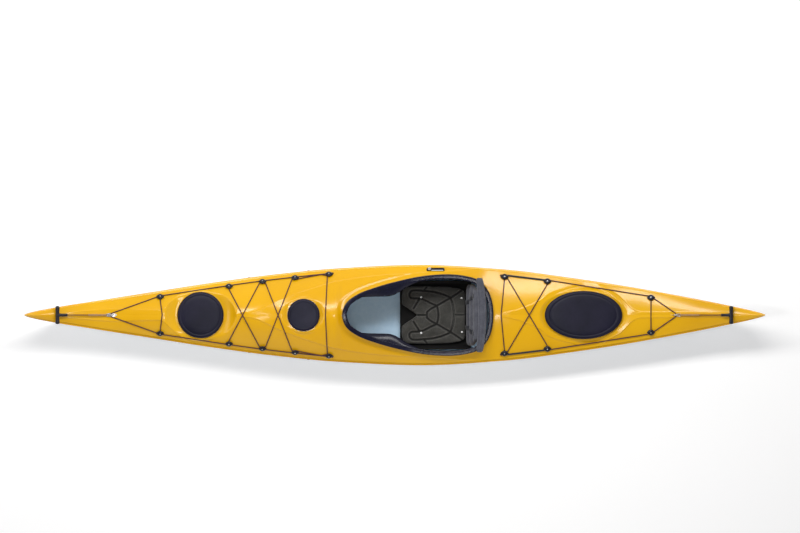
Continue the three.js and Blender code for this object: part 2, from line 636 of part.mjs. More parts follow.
// The line round the edge of an end deck, under each fitting's cap and through the pad eye.
function perimeterLine(fittings, eyeX) {
  const spots = [...fittings].sort((here, next) => Math.abs(next[0] - eyeX) - Math.abs(here[0] - eyeX));
  const start = besidePost(spots[0], -1, -POST_PASS, 15 * Math.sign(spots[0][0] - eyeX));
  const half = route([start, ...spots.map((spot) => besidePost(spot, -1, -POST_PASS)), [eyeX, -9, crownZ(eyeX) + 9]]);
  return line([...half, [eyeX, 0, crownZ(eyeX) + 9], ...mirrored(half).reverse()]);
}

function acrossBungee(spot, bow) {
  const ends = [1, -1].map((side) => besidePost(spot, side, POST_PASS + 4));
  const middle = [spot[0] + bow, 0, crownZ(spot[0] + bow) + LINE_HEIGHT + 0.6];
  return line(route([ends[0], middle, ends[1]]));
}

// Three points of a shock cord that turns sharply beside a fitting's post. toward is +1 where it comes from the bow.
function hook(spot, side, toward) {
  return [[1.5, -6], [-1.2, 0], [1.5, 6]].map(([more, step]) => besidePost(spot, side, POST_PASS + more, toward * step));
}

// The crossed shock cord on the foredeck.
function bowCrossBungee() {
  const [, second, third, fourth, fifth] = BOW_FITTINGS;
  const half = (side) => [
    besidePost(second, side, POST_PASS, -4),
    ...hook(third, -side, 1),
    ...hook(fourth, side, 1),
    besidePost(fifth, side, POST_PASS, -POST_PASS),
  ];
  const middle = [fifth[0] - 20, 0, crownZ(fifth[0] - 20) + LINE_HEIGHT + 0.8];
  const over = { steps: 14, rise: 2 * LINE_RADIUS + 2.4 };
  return line(route([...half(1), middle, ...half(-1).reverse()], { 0: over, 3: over }));
}

// The crossed shock cord behind the cockpit.
function sternCrossBungee() {
  const [first, second] = STERN_FITTINGS;
  const half = (side) => [besidePost(second, side, POST_PASS, 4), ...hook(first, -side, -1)];
  const middle = [first[0] - 20, 0, crownZ(first[0] - 20) + LINE_HEIGHT + 0.8];
  return line(route([...half(1), middle, ...half(-1).reverse()], { 0: { steps: 12, rise: 2 * LINE_RADIUS + 2.4 } }));
}

// ---------- assembly ----------

const kayak = new THREE.Group();

function place(name, geometry, look, [x, y, z] = [0, 0, 0], [rx, ry, rz] = [0, 0, 0]) {
  const mesh = new THREE.Mesh(geometry, new THREE.MeshStandardMaterial(looks[look]));
  mesh.name = name;
  mesh.position.set(x, y, z);
  mesh.rotation.set(rx, ry, rz);
  kayak.add(mesh);
  return mesh;
}

for (const [name, geometry] of Object.entries(hullLengths())) place(`hull_${name}`, geometry, 'hull');
place('deck_shell', deckShell(), 'deck');
place('front_bulkhead', bulkhead(FRONT_BULKHEAD, 14), 'foam');
place('rear_bulkhead', rearBulkhead(), 'foam');
place('day_hatch_pod', dayHatchPod(), 'black');
for (const [name, hatch] of Object.entries(HATCHES)) {
  place(`${name}_hatch_rim`, hatchRim(hatch), 'black');
  place(`${name}_hatch_cover`, hatchCover(hatch), 'black');
}

place('cockpit_coaming', cockpitCoaming(), 'black');
place('seat_pan', seatPan(), 'seat');
place('seat_pad', seatPad(), 'seat');
place('backrest', backrest(), 'back');
place('backrest_strap_left', backStrap(-95), 'strap');
place('backrest_strap_right', backStrap(95), 'strap');

place('skeg_box', skegBox(), 'black');
place('skeg_blade', skegBlade(), 'black');
place('skeg_cable_housing', line(SKEG_CABLE, 3), 'black');
const track = onDeck(SKEG_TRACK.x, SKEG_TRACK.y);
const knobX = SKEG_TRACK.x - SKEG_TRACK.travel / 2;
place('skeg_control_track', skegTrack(), 'black', track.point(0, 0), [-track.lean, 0, 0]);
place('skeg_control_knob', skegKnob(), 'steel', [knobX, ...track.point(0, 0).slice(1)], [-track.lean, 0, 0]);

for (const [name, side] of [['left', -1], ['right', 1]]) {
  place(`foot_rail_${name}`, footRail(side), 'black');
  place(`foot_pedal_${name}`, footPedal(side), 'black');
  railScrewPlaces().forEach(([x], n) => place(`foot_rail_screw_${name}_${n + 1}`, railScrew(x, side), 'steel'));
}

for (const [end, spots] of [['bow', BOW_FITTINGS], ['stern', STERN_FITTINGS]]) {
  spots.forEach(([x, y], n) => {
    for (const [name, side] of [['left', -1], ['right', 1]]) {
      const spot = onDeck(x, side * y);
      place(`${end}_fitting_${name}_${n + 1}`, fitting(), 'black', spot.point(0, 0), [-spot.lean, 0, 0]);
    }
  });
  const eyeX = PAD_EYES[end];
  const slope = Math.atan((crownZ(eyeX + 30) - crownZ(eyeX - 30)) / 60);
  place(`${end}_pad_eye`, padEye(), 'steel', [eyeX, 0, crownZ(eyeX) + 0.8], [0, -slope, 0]);
  place(`${end}_toggle`, toggle(end === 'bow' ? 1 : -1), 'black', togglePlace(end));
  place(`${end}_toggle_cord`, toggleCord(end), 'line');
  place(`${end}_perimeter_line`, perimeterLine(spots, PAD_EYES[end]), 'line');
}
place('bow_cross_bungee', bowCrossBungee(), 'line');
place('bow_front_bungee', acrossBungee(BOW_FITTINGS[0], 12), 'line');
place('stern_cross_bungee', sternCrossBungee(), 'line');
place('stern_rear_bungee', acrossBungee(STERN_FITTINGS.at(-1), 0), 'line');

export default kayak;
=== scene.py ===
"""The looks of a hard-shell touring kayak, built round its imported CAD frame.

Everything is in metres in the row frame: the bow points to -X, starboard is +Y and the keel stands on z = 0.
The shells' tables are in millimetres, as in the CAD source.
"""

import math

import bmesh
import bpy
import numpy as np
from mathutils import Matrix, Vector


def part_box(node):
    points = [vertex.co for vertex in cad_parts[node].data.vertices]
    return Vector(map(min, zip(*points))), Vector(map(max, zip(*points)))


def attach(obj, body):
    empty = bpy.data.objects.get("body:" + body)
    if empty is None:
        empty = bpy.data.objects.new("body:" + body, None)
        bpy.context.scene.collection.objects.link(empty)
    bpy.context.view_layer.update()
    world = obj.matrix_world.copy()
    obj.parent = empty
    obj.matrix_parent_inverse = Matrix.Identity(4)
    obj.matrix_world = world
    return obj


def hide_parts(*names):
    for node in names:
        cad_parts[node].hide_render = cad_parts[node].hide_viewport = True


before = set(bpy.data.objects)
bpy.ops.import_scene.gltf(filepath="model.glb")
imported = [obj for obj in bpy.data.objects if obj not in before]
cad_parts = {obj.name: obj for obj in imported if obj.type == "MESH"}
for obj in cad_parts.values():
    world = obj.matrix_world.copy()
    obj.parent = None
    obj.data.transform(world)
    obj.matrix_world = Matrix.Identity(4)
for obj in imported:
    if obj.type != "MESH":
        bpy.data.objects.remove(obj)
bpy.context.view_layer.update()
MM = 0.001


# ---------- the camera, over the deck ----------

IMAGE_WIDTH = 800
METRES_PER_PIXEL = 0.005766  # the real size that one pixel of the picture covers
CAMERA_SHIFT = Vector((0.030, 0.280, 0))  # from the kayak's middle to the picture's

camera = bpy.data.objects.new("camera", bpy.data.cameras.new("camera"))
bpy.context.scene.collection.objects.link(camera)
camera.data.type = "ORTHO"
camera.data.ortho_scale = IMAGE_WIDTH * METRES_PER_PIXEL
camera.data.clip_end = 500
camera.location = CAMERA_SHIFT + Vector((0, 0, 6))
bpy.context.scene.camera = camera
bpy.context.scene.view_settings.view_transform = "Standard"


# ---------- curves of the hull and the deck ----------

def profile(points):
    """A smooth curve through pairs of millimetres that never overshoots them. It takes and gives metres."""
    x, v = np.array(points, float).T * MM
    rise = np.diff(v) / np.diff(x)
    inner = np.where(rise[:-1] * rise[1:] > 0, 2 * rise[:-1] * rise[1:] / (rise[:-1] + rise[1:] + 1e-15), 0)
    slope = np.concatenate([rise[:1], inner, rise[-1:]])

    def at(where):
        where = np.clip(np.asarray(where, float), x[0], x[-1])
        i = np.clip(np.searchsorted(x, where, side="right") - 1, 0, len(x) - 2)
        span = x[i + 1] - x[i]
        u = (where - x[i]) / span
        ends = v[i] * (1 + 2 * u) * (1 - u) ** 2 + v[i + 1] * (3 - 2 * u) * u**2
        return ends + span * u * (1 - u) * (slope[i] * (1 - u) - slope[i + 1] * u)

    return at


def smoothstep(low, high, value):
    u = np.clip((value - low) / (high - low), 0, 1)
    return u * u * (3 - 2 * u)


HALF = 2135
WALL = 5 * MM
GAP = 0.3 * MM
half_beam = profile([
    (-HALF, 4), (-2110, 13), (-1942, 47), (-1725, 82), (-1381, 136), (-1038, 189), (-682, 236), (-325, 270),
    (150, 290), (625, 264), (981, 220), (1331, 167), (1677, 105), (1894, 62), (2106, 14), (HALF, 4),
])
seam_z = profile([
    (-HALF, 316), (-2025, 282), (-1918, 260), (-1692, 231), (-1466, 209), (-1127, 192), (-500, 187),
    (400, 188), (905, 192), (1357, 203), (1696, 220), (1922, 248), (2034, 277), (HALF, 305),
])
keel_z = profile([
    (-HALF, 306), (-2110, 254), (-2053, 186), (-1997, 124), (-1918, 79), (-1805, 51), (-1579, 28),
    (-1240, 11), (-900, 0), (340, 0), (792, 14), (1131, 28), (1357, 45), (1707, 69), (1941, 90),
    (2006, 115), (2065, 156), (2110, 223), (HALF, 296),
])
crown_z = profile([
    (-HALF, 334), (-2056, 319), (-1945, 289), (-1840, 276), (-1660, 269), (-1408, 278), (-1200, 284),
    (-983, 297), (-904, 315), (-731, 326), (-530, 336), (-407, 338), (-346, 343), (-300, 330), (0, 332),
    (250, 325), (450, 288), (560, 258), (640, 262), (886, 252), (1100, 247), (1344, 249), (1584, 255),
    (1817, 268), (1966, 283), (HALF, 330),
])
fullness = profile([
    (-HALF, 0), (-1700, 250), (-1200, 700), (-700, 1000), (700, 1000), (1300, 700), (1750, 250), (HALF, 0),
])
COAMING_OUTLINE = [
    (-304, 0), (-281, 69), (-212, 121), (-108, 161), (30, 199), (168, 226), (310, 235), (410, 225),
    (485, 200), (545, 128), (569, 0),
]
coaming_top = profile([(-304, 357), (-227, 335), (-119, 310), (2, 292), (105, 280), (321, 273), (569, 273)])
RISER_INSET = 18 * MM
brace_inner = profile([
    (-196, 101), (-175, 103.5), (-140, 105.5), (-81, 106), (-34, 107.5), (13, 123), (49, 149), (96, 174),
    (136, 191),
])


def hatch_facts(x, radius, stretch, floor, height, recess, bead):
    """A hatch in metres: its place and size, the height of the flat that it stands on, its cover's height
    over that, its recess's reach fore, aft and across, and the bead round it."""
    return {
        "x": x * MM, "radius": radius * MM, "stretch": stretch, "floor": floor * MM, "height": height * MM,
        "recess": np.array(recess) * MM, "bead": bead * MM,
    }


HATCHES = {
    "front": hatch_facts(-1120, 133.5, stretch=1, floor=248, height=24, recess=(203, 206, 150), bead=0),
    "day": hatch_facts(-526, 93.5, stretch=1, floor=318, height=18, recess=(122, 118, 110), bead=0),
    "rear": hatch_facts(1088, 139, stretch=1.61, floor=240, height=26, recess=(252, 250, 151), bead=2.4),
}

# The creases that break the deck into facets, as distance off the centre line along X.
CREASES = [profile(points) for points in (
    [(-1960, 8), (-1600, 34), (-1354, 28), (-1296, 72), (-1218, 135), (-1150, 176)],
    [(-930, 6), (-835, 14), (-624, 102), (-437, 164), (-345, 191), (-100, 226), (310, 252), (480, 268)],
    [(600, 4), (700, 24), (780, 52), (844, 84), (885, 118), (963, 147), (1040, 166), (1100, 196)],
    [(1150, 190), (1233, 141), (1291, 108), (1329, 73), (1368, 35), (1414, 15), (1600, 13), (1960, 8)],
)]
CREASE_SPANS = [(-1960, -1150), (-930, 480), (600, 1100), (1150, 1960)]
CREASE_LIFT = 4.5 * MM  # the broad fold
CREASE_EDGE = 3.6 * MM  # the sharp edge on it, which fades slowly inboard and drops at once outboard
EDGE_FADE, EDGE_DROP = 30 * MM, 2.5 * MM
SPAN_FADE = 70 * MM  # the length over which a crease dies out at its ends
RECESS_CURVE = 1.7
HATCH_CLEARANCE = 4 * MM
BEAD_PLACE, BEAD_WIDTH = 9 * MM, 4 * MM
COAMING_RISE = 5 * MM
COAMING_STEP = 3.4 * MM  # how much lower the deck is close round the front of the coaming


def crease_place(x):
    """How far off the centre line the crease lies that a column of the deck's mesh follows, along X."""
    x = np.asarray(x, float)
    knots = [(-HALF * MM, 10 * MM)]
    for crease, (start, end) in zip(CREASES, CREASE_SPANS):
        knots += [(at * MM, float(crease(at * MM))) for at in np.linspace(start, end, 60)]
    knots.append((HALF * MM, 10 * MM))
    at, off = np.array(knots).T
    return np.interp(x, at, off)


def catmull_rom(points, count, closed=False):
    """Evenly spaced points on a smooth curve through points."""
    p = np.array(points, float)
    if closed:
        p = np.vstack([p[-1:], p, p[:2]])
    else:
        p = np.vstack([2 * p[:1] - p[1:2], p, 2 * p[-1:] - p[-2:-1]])
    fine = []
    for a, b, c, d in zip(p[:-3], p[1:-2], p[2:-1], p[3:]):
        t1, t2, t3 = np.cumsum([max(np.linalg.norm(q), 1e-9) ** 0.5 for q in (b - a, c - b, d - c)])
        t = np.linspace(t1, t2, 24, endpoint=False)[:, None]
        a1 = (t1 - t) / t1 * a + t / t1 * b
        a2 = (t2 - t) / (t2 - t1) * b + (t - t1) / (t2 - t1) * c
        a3 = (t3 - t) / (t3 - t2) * c + (t - t2) / (t3 - t2) * d
        b1 = (t2 - t) / t2 * a1 + t / t2 * a2
        b2 = (t3 - t) / (t3 - t1) * a2 + (t - t1) / (t3 - t1) * a3
        fine.extend((t2 - t) / (t2 - t1) * b1 + (t - t1) / (t2 - t1) * b2)
    fine.append(p[-2])
    fine = np.array(fine)
    along = np.concatenate([[0], np.cumsum(np.linalg.norm(np.diff(fine, axis=0), axis=1))])
    want = np.linspace(0, along[-1], count, endpoint=not closed)
    return np.stack([np.interp(want, along, column) for column in fine.T], 1)


def coaming_edge(count):
    """Points of the coaming's outer edge, and the way inwards at each."""
    other = [(x, -y) for x, y in COAMING_OUTLINE[-2:0:-1]]
    points = catmull_rom(np.array(COAMING_OUTLINE + other) * MM, count, closed=True)
    along = np.roll(points, -1, 0) - np.roll(points, 1, 0)
    along /= np.linalg.norm(along, axis=1)[:, None]
    return points, np.stack([along[:, 1], -along[:, 0]], 1)


EDGE_POINTS, _ = coaming_edge(240)


def off_coaming(x, y):
    """How far a point lies outside the coaming's edge; negative inside it."""
    points = np.stack([np.ravel(x), np.ravel(y)], 1)
    distance = np.full(len(points), 1.0)
    near = (points[:, 0] > -0.45) & (points[:, 0] < 0.72)
    gaps = points[near, None] - EDGE_POINTS[None]
    distance[near] = np.sqrt((gaps**2).sum(2).min(1))
    a, b = EDGE_POINTS, np.roll(EDGE_POINTS, -1, 0)
    px, py = points[near, 0][:, None], points[near, 1][:, None]
    crossing = (a[:, 1] > py) != (b[:, 1] > py)
    safe = np.where(np.abs(b[:, 1] - a[:, 1]) < 1e-12, 1e-12, b[:, 1] - a[:, 1])
    left = px < (b[:, 0] - a[:, 0]) * (py - a[:, 1]) / safe + a[:, 0]
    inside = (crossing & left).sum(1) % 2 == 1
    distance[near] *= np.where(inside, -1, 1)
    return distance.reshape(np.shape(x))


def edge_height(x):
    """The height of the deck's rounded edge over the seam."""
    return np.minimum(17 * MM, 0.35 * (crown_z(x) - seam_z(x)))


def plain_deck_z(x, y):
    """The deck without its hatch flats, creases and cockpit rise."""
    edge = edge_height(x)
    across = np.minimum(np.abs(y) / (half_beam(x) - 2 * MM), 1)
    return seam_z(x) + edge + (crown_z(x) - seam_z(x) - edge) * (1 - across**1.6)


def deck_z(x, y):
    """The height of the finished deck."""
    x, y = np.broadcast_arrays(np.asarray(x, float), np.asarray(y, float))
    z = plain_deck_z(x, y)
    side = np.abs(y)
    beam = half_beam(x)
    for crease, (start, end) in zip(CREASES, CREASE_SPANS):
        line = np.minimum(crease(x), beam - 4 * MM)
        within = 1 - (line - side) / np.maximum(line, 55 * MM)
        beyond = 1 - (side - line) / np.maximum(beam - line, 4 * MM)
        fade = smoothstep(start * MM, start * MM + SPAN_FADE, x)
        fade = fade * (1 - smoothstep(end * MM - SPAN_FADE, end * MM, x))
        z = z + CREASE_LIFT * fade * np.clip(np.where(side < line, within, beyond), 0, 1)
        inboard, outboard = np.exp((side - line) / EDGE_FADE), np.exp((line - side) / EDGE_DROP)
        z = z + CREASE_EDGE * fade * np.where(side < line, inboard, outboard)
    for hatch in HATCHES.values():
        fore, aft, width = hatch["recess"]
        along = x - hatch["x"]
        away = np.hypot(along, y) + 1e-9
        cover = away / np.hypot(along / (hatch["radius"] * hatch["stretch"]), y / hatch["radius"])
        flat = cover + HATCH_CLEARANCE
        rim = away / np.hypot(along / np.where(along < 0, fore, aft), y / width)
        slope = np.clip((away - flat) / np.maximum(rim - flat, 5 * MM), 0, 1)
        z = hatch["floor"] + (z - hatch["floor"]) * slope**RECESS_CURVE
        z = z + hatch["bead"] * np.exp(-(((away - flat - BEAD_PLACE) / BEAD_WIDTH) ** 2))
    off = off_coaming(x, y)
    rise = 1 - smoothstep(-19 * MM, 6 * MM, off)
    lowered = (1 - smoothstep(21 * MM, 29 * MM, off)) * (1 - smoothstep(-0.05, 0.2, x))
    return z + COAMING_RISE * rise - COAMING_STEP * lowered


# ---------- meshes ----------

def new_object(name, vertices, faces, smooth=True):
    mesh = bpy.data.meshes.new(name)
    mesh.from_pydata([tuple(map(float, v)) for v in vertices], [], [tuple(map(int, f)) for f in faces])
    mesh.validate()
    piece = bpy.data.objects.new(name, mesh)
    bpy.context.scene.collection.objects.link(piece)
    outwards(piece)
    if smooth:
        mesh.shade_smooth()
    return piece


def outwards(piece):
    """Turns a closed mesh's faces outwards."""
    shape = bmesh.new()
    shape.from_mesh(piece.data)
    bmesh.ops.recalc_face_normals(shape, faces=shape.faces)
    shape.to_mesh(piece.data)
    shape.free()


def skin(rings, joined=False, caps=True):
    """Faces over a stack of closed rings of points: (vertices, faces)."""
    rings = np.asarray(rings, float)
    rows, count = rings.shape[:2]
    faces = []
    for row in range(rows if joined else rows - 1):
        here, there = row * count, (row + 1) % rows * count
        for i in range(count):
            j = (i + 1) % count
            faces.append((here + i, here + j, there + j, there + i))
    if caps and not joined:
        faces.append(tuple(range(count))[::-1])
        faces.append(tuple(range((rows - 1) * count, rows * count)))
    return rings.reshape(-1, 3), faces


def merge_parts(parts):
    """Several (vertices, faces) as one."""
    vertices, faces, first = [], [], 0
    for some, links in parts:
        vertices.extend(some)
        faces.extend(tuple(n + first for n in face) for face in links)
        first += len(some)
    return vertices, faces


def sharpen(piece, degrees):
    piece.data.set_sharp_from_angle(angle=math.radians(degrees))
    return piece


def finish(piece, body, look, replaces=()):
    """Gives a piece its material and its body, and hides the CAD nodes that it stands for."""
    if not piece.data.materials:
        piece.data.materials.append(LOOKS[look])
    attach(piece, body)
    if replaces:
        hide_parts(*([replaces] if isinstance(replaces, str) else replaces))
    return piece


def build(name, shape, degrees, body, look, replaces=()):
    """A finished piece from its (vertices, faces). Edges that turn more than some degrees stay sharp."""
    return finish(sharpen(new_object(name, *shape), degrees), body, look, replaces)


def apply_modifiers(piece):
    bpy.context.view_layer.update()
    shaped = bpy.data.meshes.new_from_object(piece.evaluated_get(bpy.context.evaluated_depsgraph_get()))
    piece.modifiers.clear()
    old = piece.data
    piece.data = shaped
    bpy.data.meshes.remove(old)
    return piece


def cut(piece, *tools):
    """Cuts closed tools out of a closed piece, one after another."""
    for tool in tools:
        difference = piece.modifiers.new("cut", "BOOLEAN")
        difference.operation = "DIFFERENCE"
        difference.solver = "EXACT"
        difference.material_mode = "TRANSFER"
        difference.object = tool
        apply_modifiers(piece)
        bpy.data.objects.remove(tool)
    return piece


def bevel(piece, width, segments=3, degrees=30):
    rounding = piece.modifiers.new("bevel", "BEVEL")
    rounding.width = width
    rounding.segments = segments
    rounding.limit_method = "ANGLE"
    rounding.angle_limit = math.radians(degrees)
    return piece


def in_metres(points):
    return [(r * MM, up * MM) for r, up in points]


def turned(points, centre, stretch, sides):
    """The (vertices, faces) of a shape turned about an upright axis and stretched along X. Its radii and
    heights start and end on the axis, or go round a ring."""
    points = np.array(points, float)
    on_axis = points[0][0] < 1e-9
    body = points[1:-1] if on_axis else points
    angles = np.linspace(0, 2 * math.pi, sides, endpoint=False)
    rings = []
    for r, z in body:
        x, y = centre[0] + stretch * r * np.cos(angles), centre[1] + r * np.sin(angles)
        rings.append(np.stack([x, y, np.full(sides, centre[2] + z)], 1))
    vertices, faces = skin(rings, joined=not on_axis, caps=False)
    if on_axis:
        vertices = np.vstack([vertices, [(centre[0], centre[1], centre[2] + points[n][1]) for n in (0, -1)]])
        first, last, top = 0, (len(body) - 1) * sides, len(vertices)
        faces += [(first + (i + 1) % sides, first + i, top - 2) for i in range(sides)]
        faces += [(last + i, last + (i + 1) % sides, top - 1) for i in range(sides)]
    return vertices, faces


def rounded(corners, radius, steps=4):
    """The corners of a closed outline, rounded."""
    corners = np.array(corners, float)
    out = []
    for before, at, after in zip(np.roll(corners, 1, 0), corners, np.roll(corners, -1, 0)):
        reach = min(radius, 0.45 * np.linalg.norm(before - at), 0.45 * np.linalg.norm(after - at))
        a = at + (before - at) / np.linalg.norm(before - at) * reach
        b = at + (after - at) / np.linalg.norm(after - at) * reach
        for u in np.linspace(0, 1, steps + 1):
            out.append((1 - u) ** 2 * a + 2 * u * (1 - u) * at + u**2 * b)
    return np.array(out)


def tube(points, radius, sides=12):
    """A round tube on points. radius may be a list, one for each point."""
    p = np.array(points, float)
    radii = np.broadcast_to(np.asarray(radius, float), len(p))
    along = np.gradient(p, axis=0)
    along /= np.linalg.norm(along, axis=1)[:, None]
    normal = np.cross(along[0], (0, 0, 1) if abs(along[0][2]) < 0.9 else (1, 0, 0))
    rings = []
    turn = np.linspace(0, 2 * math.pi, sides, endpoint=False)[:, None]
    for spot, way, r in zip(p, along, radii):
        normal = normal - way * normal.dot(way)
        normal /= np.linalg.norm(normal)
        rings.append(spot + r * (np.cos(turn) * normal + np.sin(turn) * np.cross(way, normal)))
    return skin(rings)


def cord_uvs(piece, points, radius, sides):
    """Writes length along the cord and turn round it, in cord diameters and turns, as UVs."""
    steps = np.linalg.norm(np.diff(np.array(points), axis=0), axis=1)
    along = np.concatenate([[0], np.cumsum(steps)]) / (2 * radius)
    layer = piece.data.uv_layers.new(name="UVMap")
    rings = len(along)
    for face in piece.data.polygons:
        spots = [piece.data.loops[n].vertex_index % sides for n in face.loop_indices]
        for corner in face.loop_indices:
            vertex = piece.data.loops[corner].vertex_index
            ring, spot = divmod(vertex, sides)
            if ring < rings:
                wraps = spot == 0 and sides - 1 in spots
                layer.data[corner].uv = (along[ring], 1.0 if wraps else spot / sides)


# ---------- materials ----------

class Nodes:
    """A material's nodes, with short calls for the ones used here."""

    def __init__(self, name):
        self.material = bpy.data.materials.new(name)
        self.material.use_nodes = True
        self.tree = self.material.node_tree
        self.shader = self.tree.nodes["Principled BSDF"]
        self.place = self.add("ShaderNodeTexCoord", "Object")
        self.uv = self.add("ShaderNodeTexCoord", "UV")

    def give(self, socket, value):
        """Links a socket to another node's output, or sets it to a number or a colour."""
        if isinstance(value, bpy.types.NodeSocket):
            self.tree.links.new(value, socket)
        else:
            socket.default_value = value

    def add(self, kind, output, inputs=None, **settings):
        """A new node's output. Its inputs are other outputs, or values."""
        node = self.tree.nodes.new(kind)
        for name, value in settings.items():
            setattr(node, name, value)
        for name, value in (inputs or {}).items():
            self.give(node.inputs[name], value)
        return node.outputs[output]

    def stretched(self, scale):
        return self.add("ShaderNodeMapping", "Vector", {"Vector": self.place, "Scale": scale})

    def noise(self, scale, detail=3, roughness=0.5, vector=None):
        inputs = {"Vector": vector or self.place, "Scale": scale, "Detail": detail, "Roughness": roughness}
        return self.add("ShaderNodeTexNoise", "Fac", inputs)

    def cells(self, scale):
        return self.add("ShaderNodeTexVoronoi", "Distance", {"Vector": self.place, "Scale": scale})

    def wave(self, scale, direction, distortion):
        inputs = {"Vector": self.place, "Scale": scale, "Distortion": distortion}
        return self.add("ShaderNodeTexWave", "Fac", inputs, bands_direction=direction)

    def math(self, operation, a, b):
        return self.add("ShaderNodeMath", "Value", {0: a, 1: b}, operation=operation)

    def ramp(self, value, stops):
        node = self.tree.nodes.new("ShaderNodeValToRGB")
        self.give(node.inputs["Fac"], value)
        elements = node.color_ramp.elements
        while len(elements) < len(stops):
            elements.new(0.5)
        for element, (position, colour) in zip(elements, stops):
            element.position = position
            element.color = (*colour, 1)
        return node.outputs["Color"]

    def range(self, value, low, high, from_low=0.0, from_high=1.0):
        inputs = {"Value": value, "From Min": from_low, "From Max": from_high, "To Min": low, "To Max": high}
        return self.add("ShaderNodeMapRange", "Result", inputs)

    def bump(self, height, strength, distance, after=None):
        inputs = {"Height": height, "Strength": strength, "Distance": distance}
        if after is not None:
            inputs["Normal"] = after
        return self.add("ShaderNodeBump", "Normal", inputs)

    def set(self, **values):
        names = {
            "colour": "Base Color", "roughness": "Roughness", "metallic": "Metallic", "normal": "Normal",
            "coat": "Coat Weight", "coat_roughness": "Coat Roughness", "sheen": "Sheen Weight",
            "sheen_roughness": "Sheen Roughness", "specular": "Specular IOR Level", "ior": "IOR",
        }
        for key, value in values.items():
            self.give(self.shader.inputs[names[key]], value)
        return self.material


def moulded_shell(name, dark, light, roughness):
    """Glossy rotomoulded polyethylene: slow colour drift, a faint orange peel, and fine scuffs."""
    n = Nodes(name)
    colour = n.ramp(n.noise(2.2, 4), [(0.3, dark), (0.7, light)])
    scuffs = n.noise(60, 5, 0.7, n.stretched((0.25, 4, 4)))
    normal = n.bump(n.noise(170, 2), 0.07, 0.0005)
    normal = n.bump(n.noise(14, 2), 0.06, 0.003, after=normal)
    rough = n.range(scuffs, roughness - 0.04, roughness + 0.08, 0.35, 0.75)
    n.set(coat=0.15, coat_roughness=0.08, ior=1.5, specular=0.4)
    return n.set(colour=colour, roughness=rough, normal=normal)


def moulded_plastic(name, dark, light, roughness, grain=900, relief=0.0002):
    """Moulded engineering plastic with a fine spark-eroded grain and paler scuffs."""
    n = Nodes(name)
    scuffed = n.ramp(n.noise(38, 6, 0.7), [(0.35, dark), (0.8, light)])
    normal = n.bump(n.noise(grain, 3, 0.7), 0.35, relief)
    rough = n.range(n.noise(25, 4), roughness - 0.08, roughness + 0.1)
    return n.set(colour=scuffed, roughness=rough, normal=normal, specular=0.35)


def rubber_cover(name):
    """A soft navy-black cover with a dusty bloom and small moulding marks."""
    n = Nodes(name)
    bloom = n.ramp(n.noise(7, 5, 0.6), [(0.3, (0.006, 0.006, 0.016)), (0.75, (0.013, 0.012, 0.030))])
    normal = n.bump(n.noise(650, 4, 0.7), 0.3, 0.00025)
    normal = n.bump(n.noise(30, 3), 0.08, 0.002, after=normal)
    rough = n.range(n.noise(12, 4), 0.34, 0.5)
    return n.set(colour=bloom, roughness=rough, normal=normal, specular=0.2)


def woven(name, dark, light, pitch, roughness=0.85, sheen=0.3, relief=0.0005, seams=False):
    """A close plain weave of threads pitch apart, with slubs and a slow random change of tone. With seams
    set, the seat pad's sewn channels get painted shade and the piping beside them a painted highlight, read
    from a mesh attribute."""
    n = Nodes(name)
    across = n.wave(1 / pitch / math.pi, "X", 0.6)
    down = n.wave(1 / pitch / math.pi, "Y", 0.6)
    threads = n.math("MULTIPLY", across, down)
    slubs = n.noise(300, 4, 0.7)
    tone = n.math("ADD", n.math("MULTIPLY", threads, 0.55), n.math("MULTIPLY", n.noise(26, 5, 0.65), 0.6))
    if seams:
        # The attribute holds painted shade for the sewn channels, and a painted highlight, as a negative
        # value, for the piping beside them.
        painted_channel_shade_and_highlight = n.add("ShaderNodeAttribute", "Fac", attribute_name="painted_channel_shade_and_highlight")
        tone = n.math("SUBTRACT", tone, n.math("MULTIPLY", painted_channel_shade_and_highlight, 0.75))
    darkest, lightest = tuple(0.25 * c for c in dark), tuple(2.2 * c for c in light)
    colour = n.ramp(tone, [(0.0, darkest), (0.25, dark), (0.75, light), (1.0, lightest)])
    normal = n.bump(threads, 0.5, relief)
    normal = n.bump(slubs, 0.3, relief * 0.7, after=normal)
    rough = n.range(slubs, roughness - 0.1, roughness + 0.08)
    n.set(sheen=sheen, sheen_roughness=0.5, specular=0.25)
    return n.set(colour=colour, roughness=rough, normal=normal)


def braided(name, dark, light, strands=6):
    """A braided sheath: two sets of strands that cross round the cord."""
    n = Nodes(name)
    along, round_it = (n.add("ShaderNodeSeparateXYZ", axis, {"Vector": n.uv}) for axis in "XY")
    along = n.math("MULTIPLY", along, 0.9 * 2 * math.pi)
    round_it = n.math("MULTIPLY", round_it, strands * 2 * math.pi)
    one = n.math("SINE", n.math("ADD", along, round_it), 0)
    other = n.math("SINE", n.math("SUBTRACT", along, round_it), 0)
    braid = n.range(n.math("MULTIPLY", one, other), 0, 1, -1, 1)
    fuzz = n.noise(1500, 3, 0.7)
    tone = n.math("ADD", n.math("MULTIPLY", braid, 0.6), n.math("MULTIPLY", fuzz, 0.4))
    colour = n.ramp(tone, [(0.25, dark), (0.85, light)])
    normal = n.bump(braid, 0.6, 0.0005)
    return n.set(colour=colour, roughness=n.range(fuzz, 0.55, 0.8), normal=normal, sheen=0.2)


def stainless(name):
    """Polished stainless with fine drawn lines and a few water marks."""
    n = Nodes(name)
    lines = n.noise(900, 3, 0.7, n.stretched((0.2, 1, 1)))
    marks = n.noise(40, 4)
    colour = n.ramp(marks, [(0.3, (0.5, 0.5, 0.51)), (0.7, (0.68, 0.68, 0.69))])
    rough = n.range(lines, 0.2, 0.38)
    return n.set(colour=colour, metallic=1.0, roughness=rough, normal=n.bump(lines, 0.15, 0.0001))


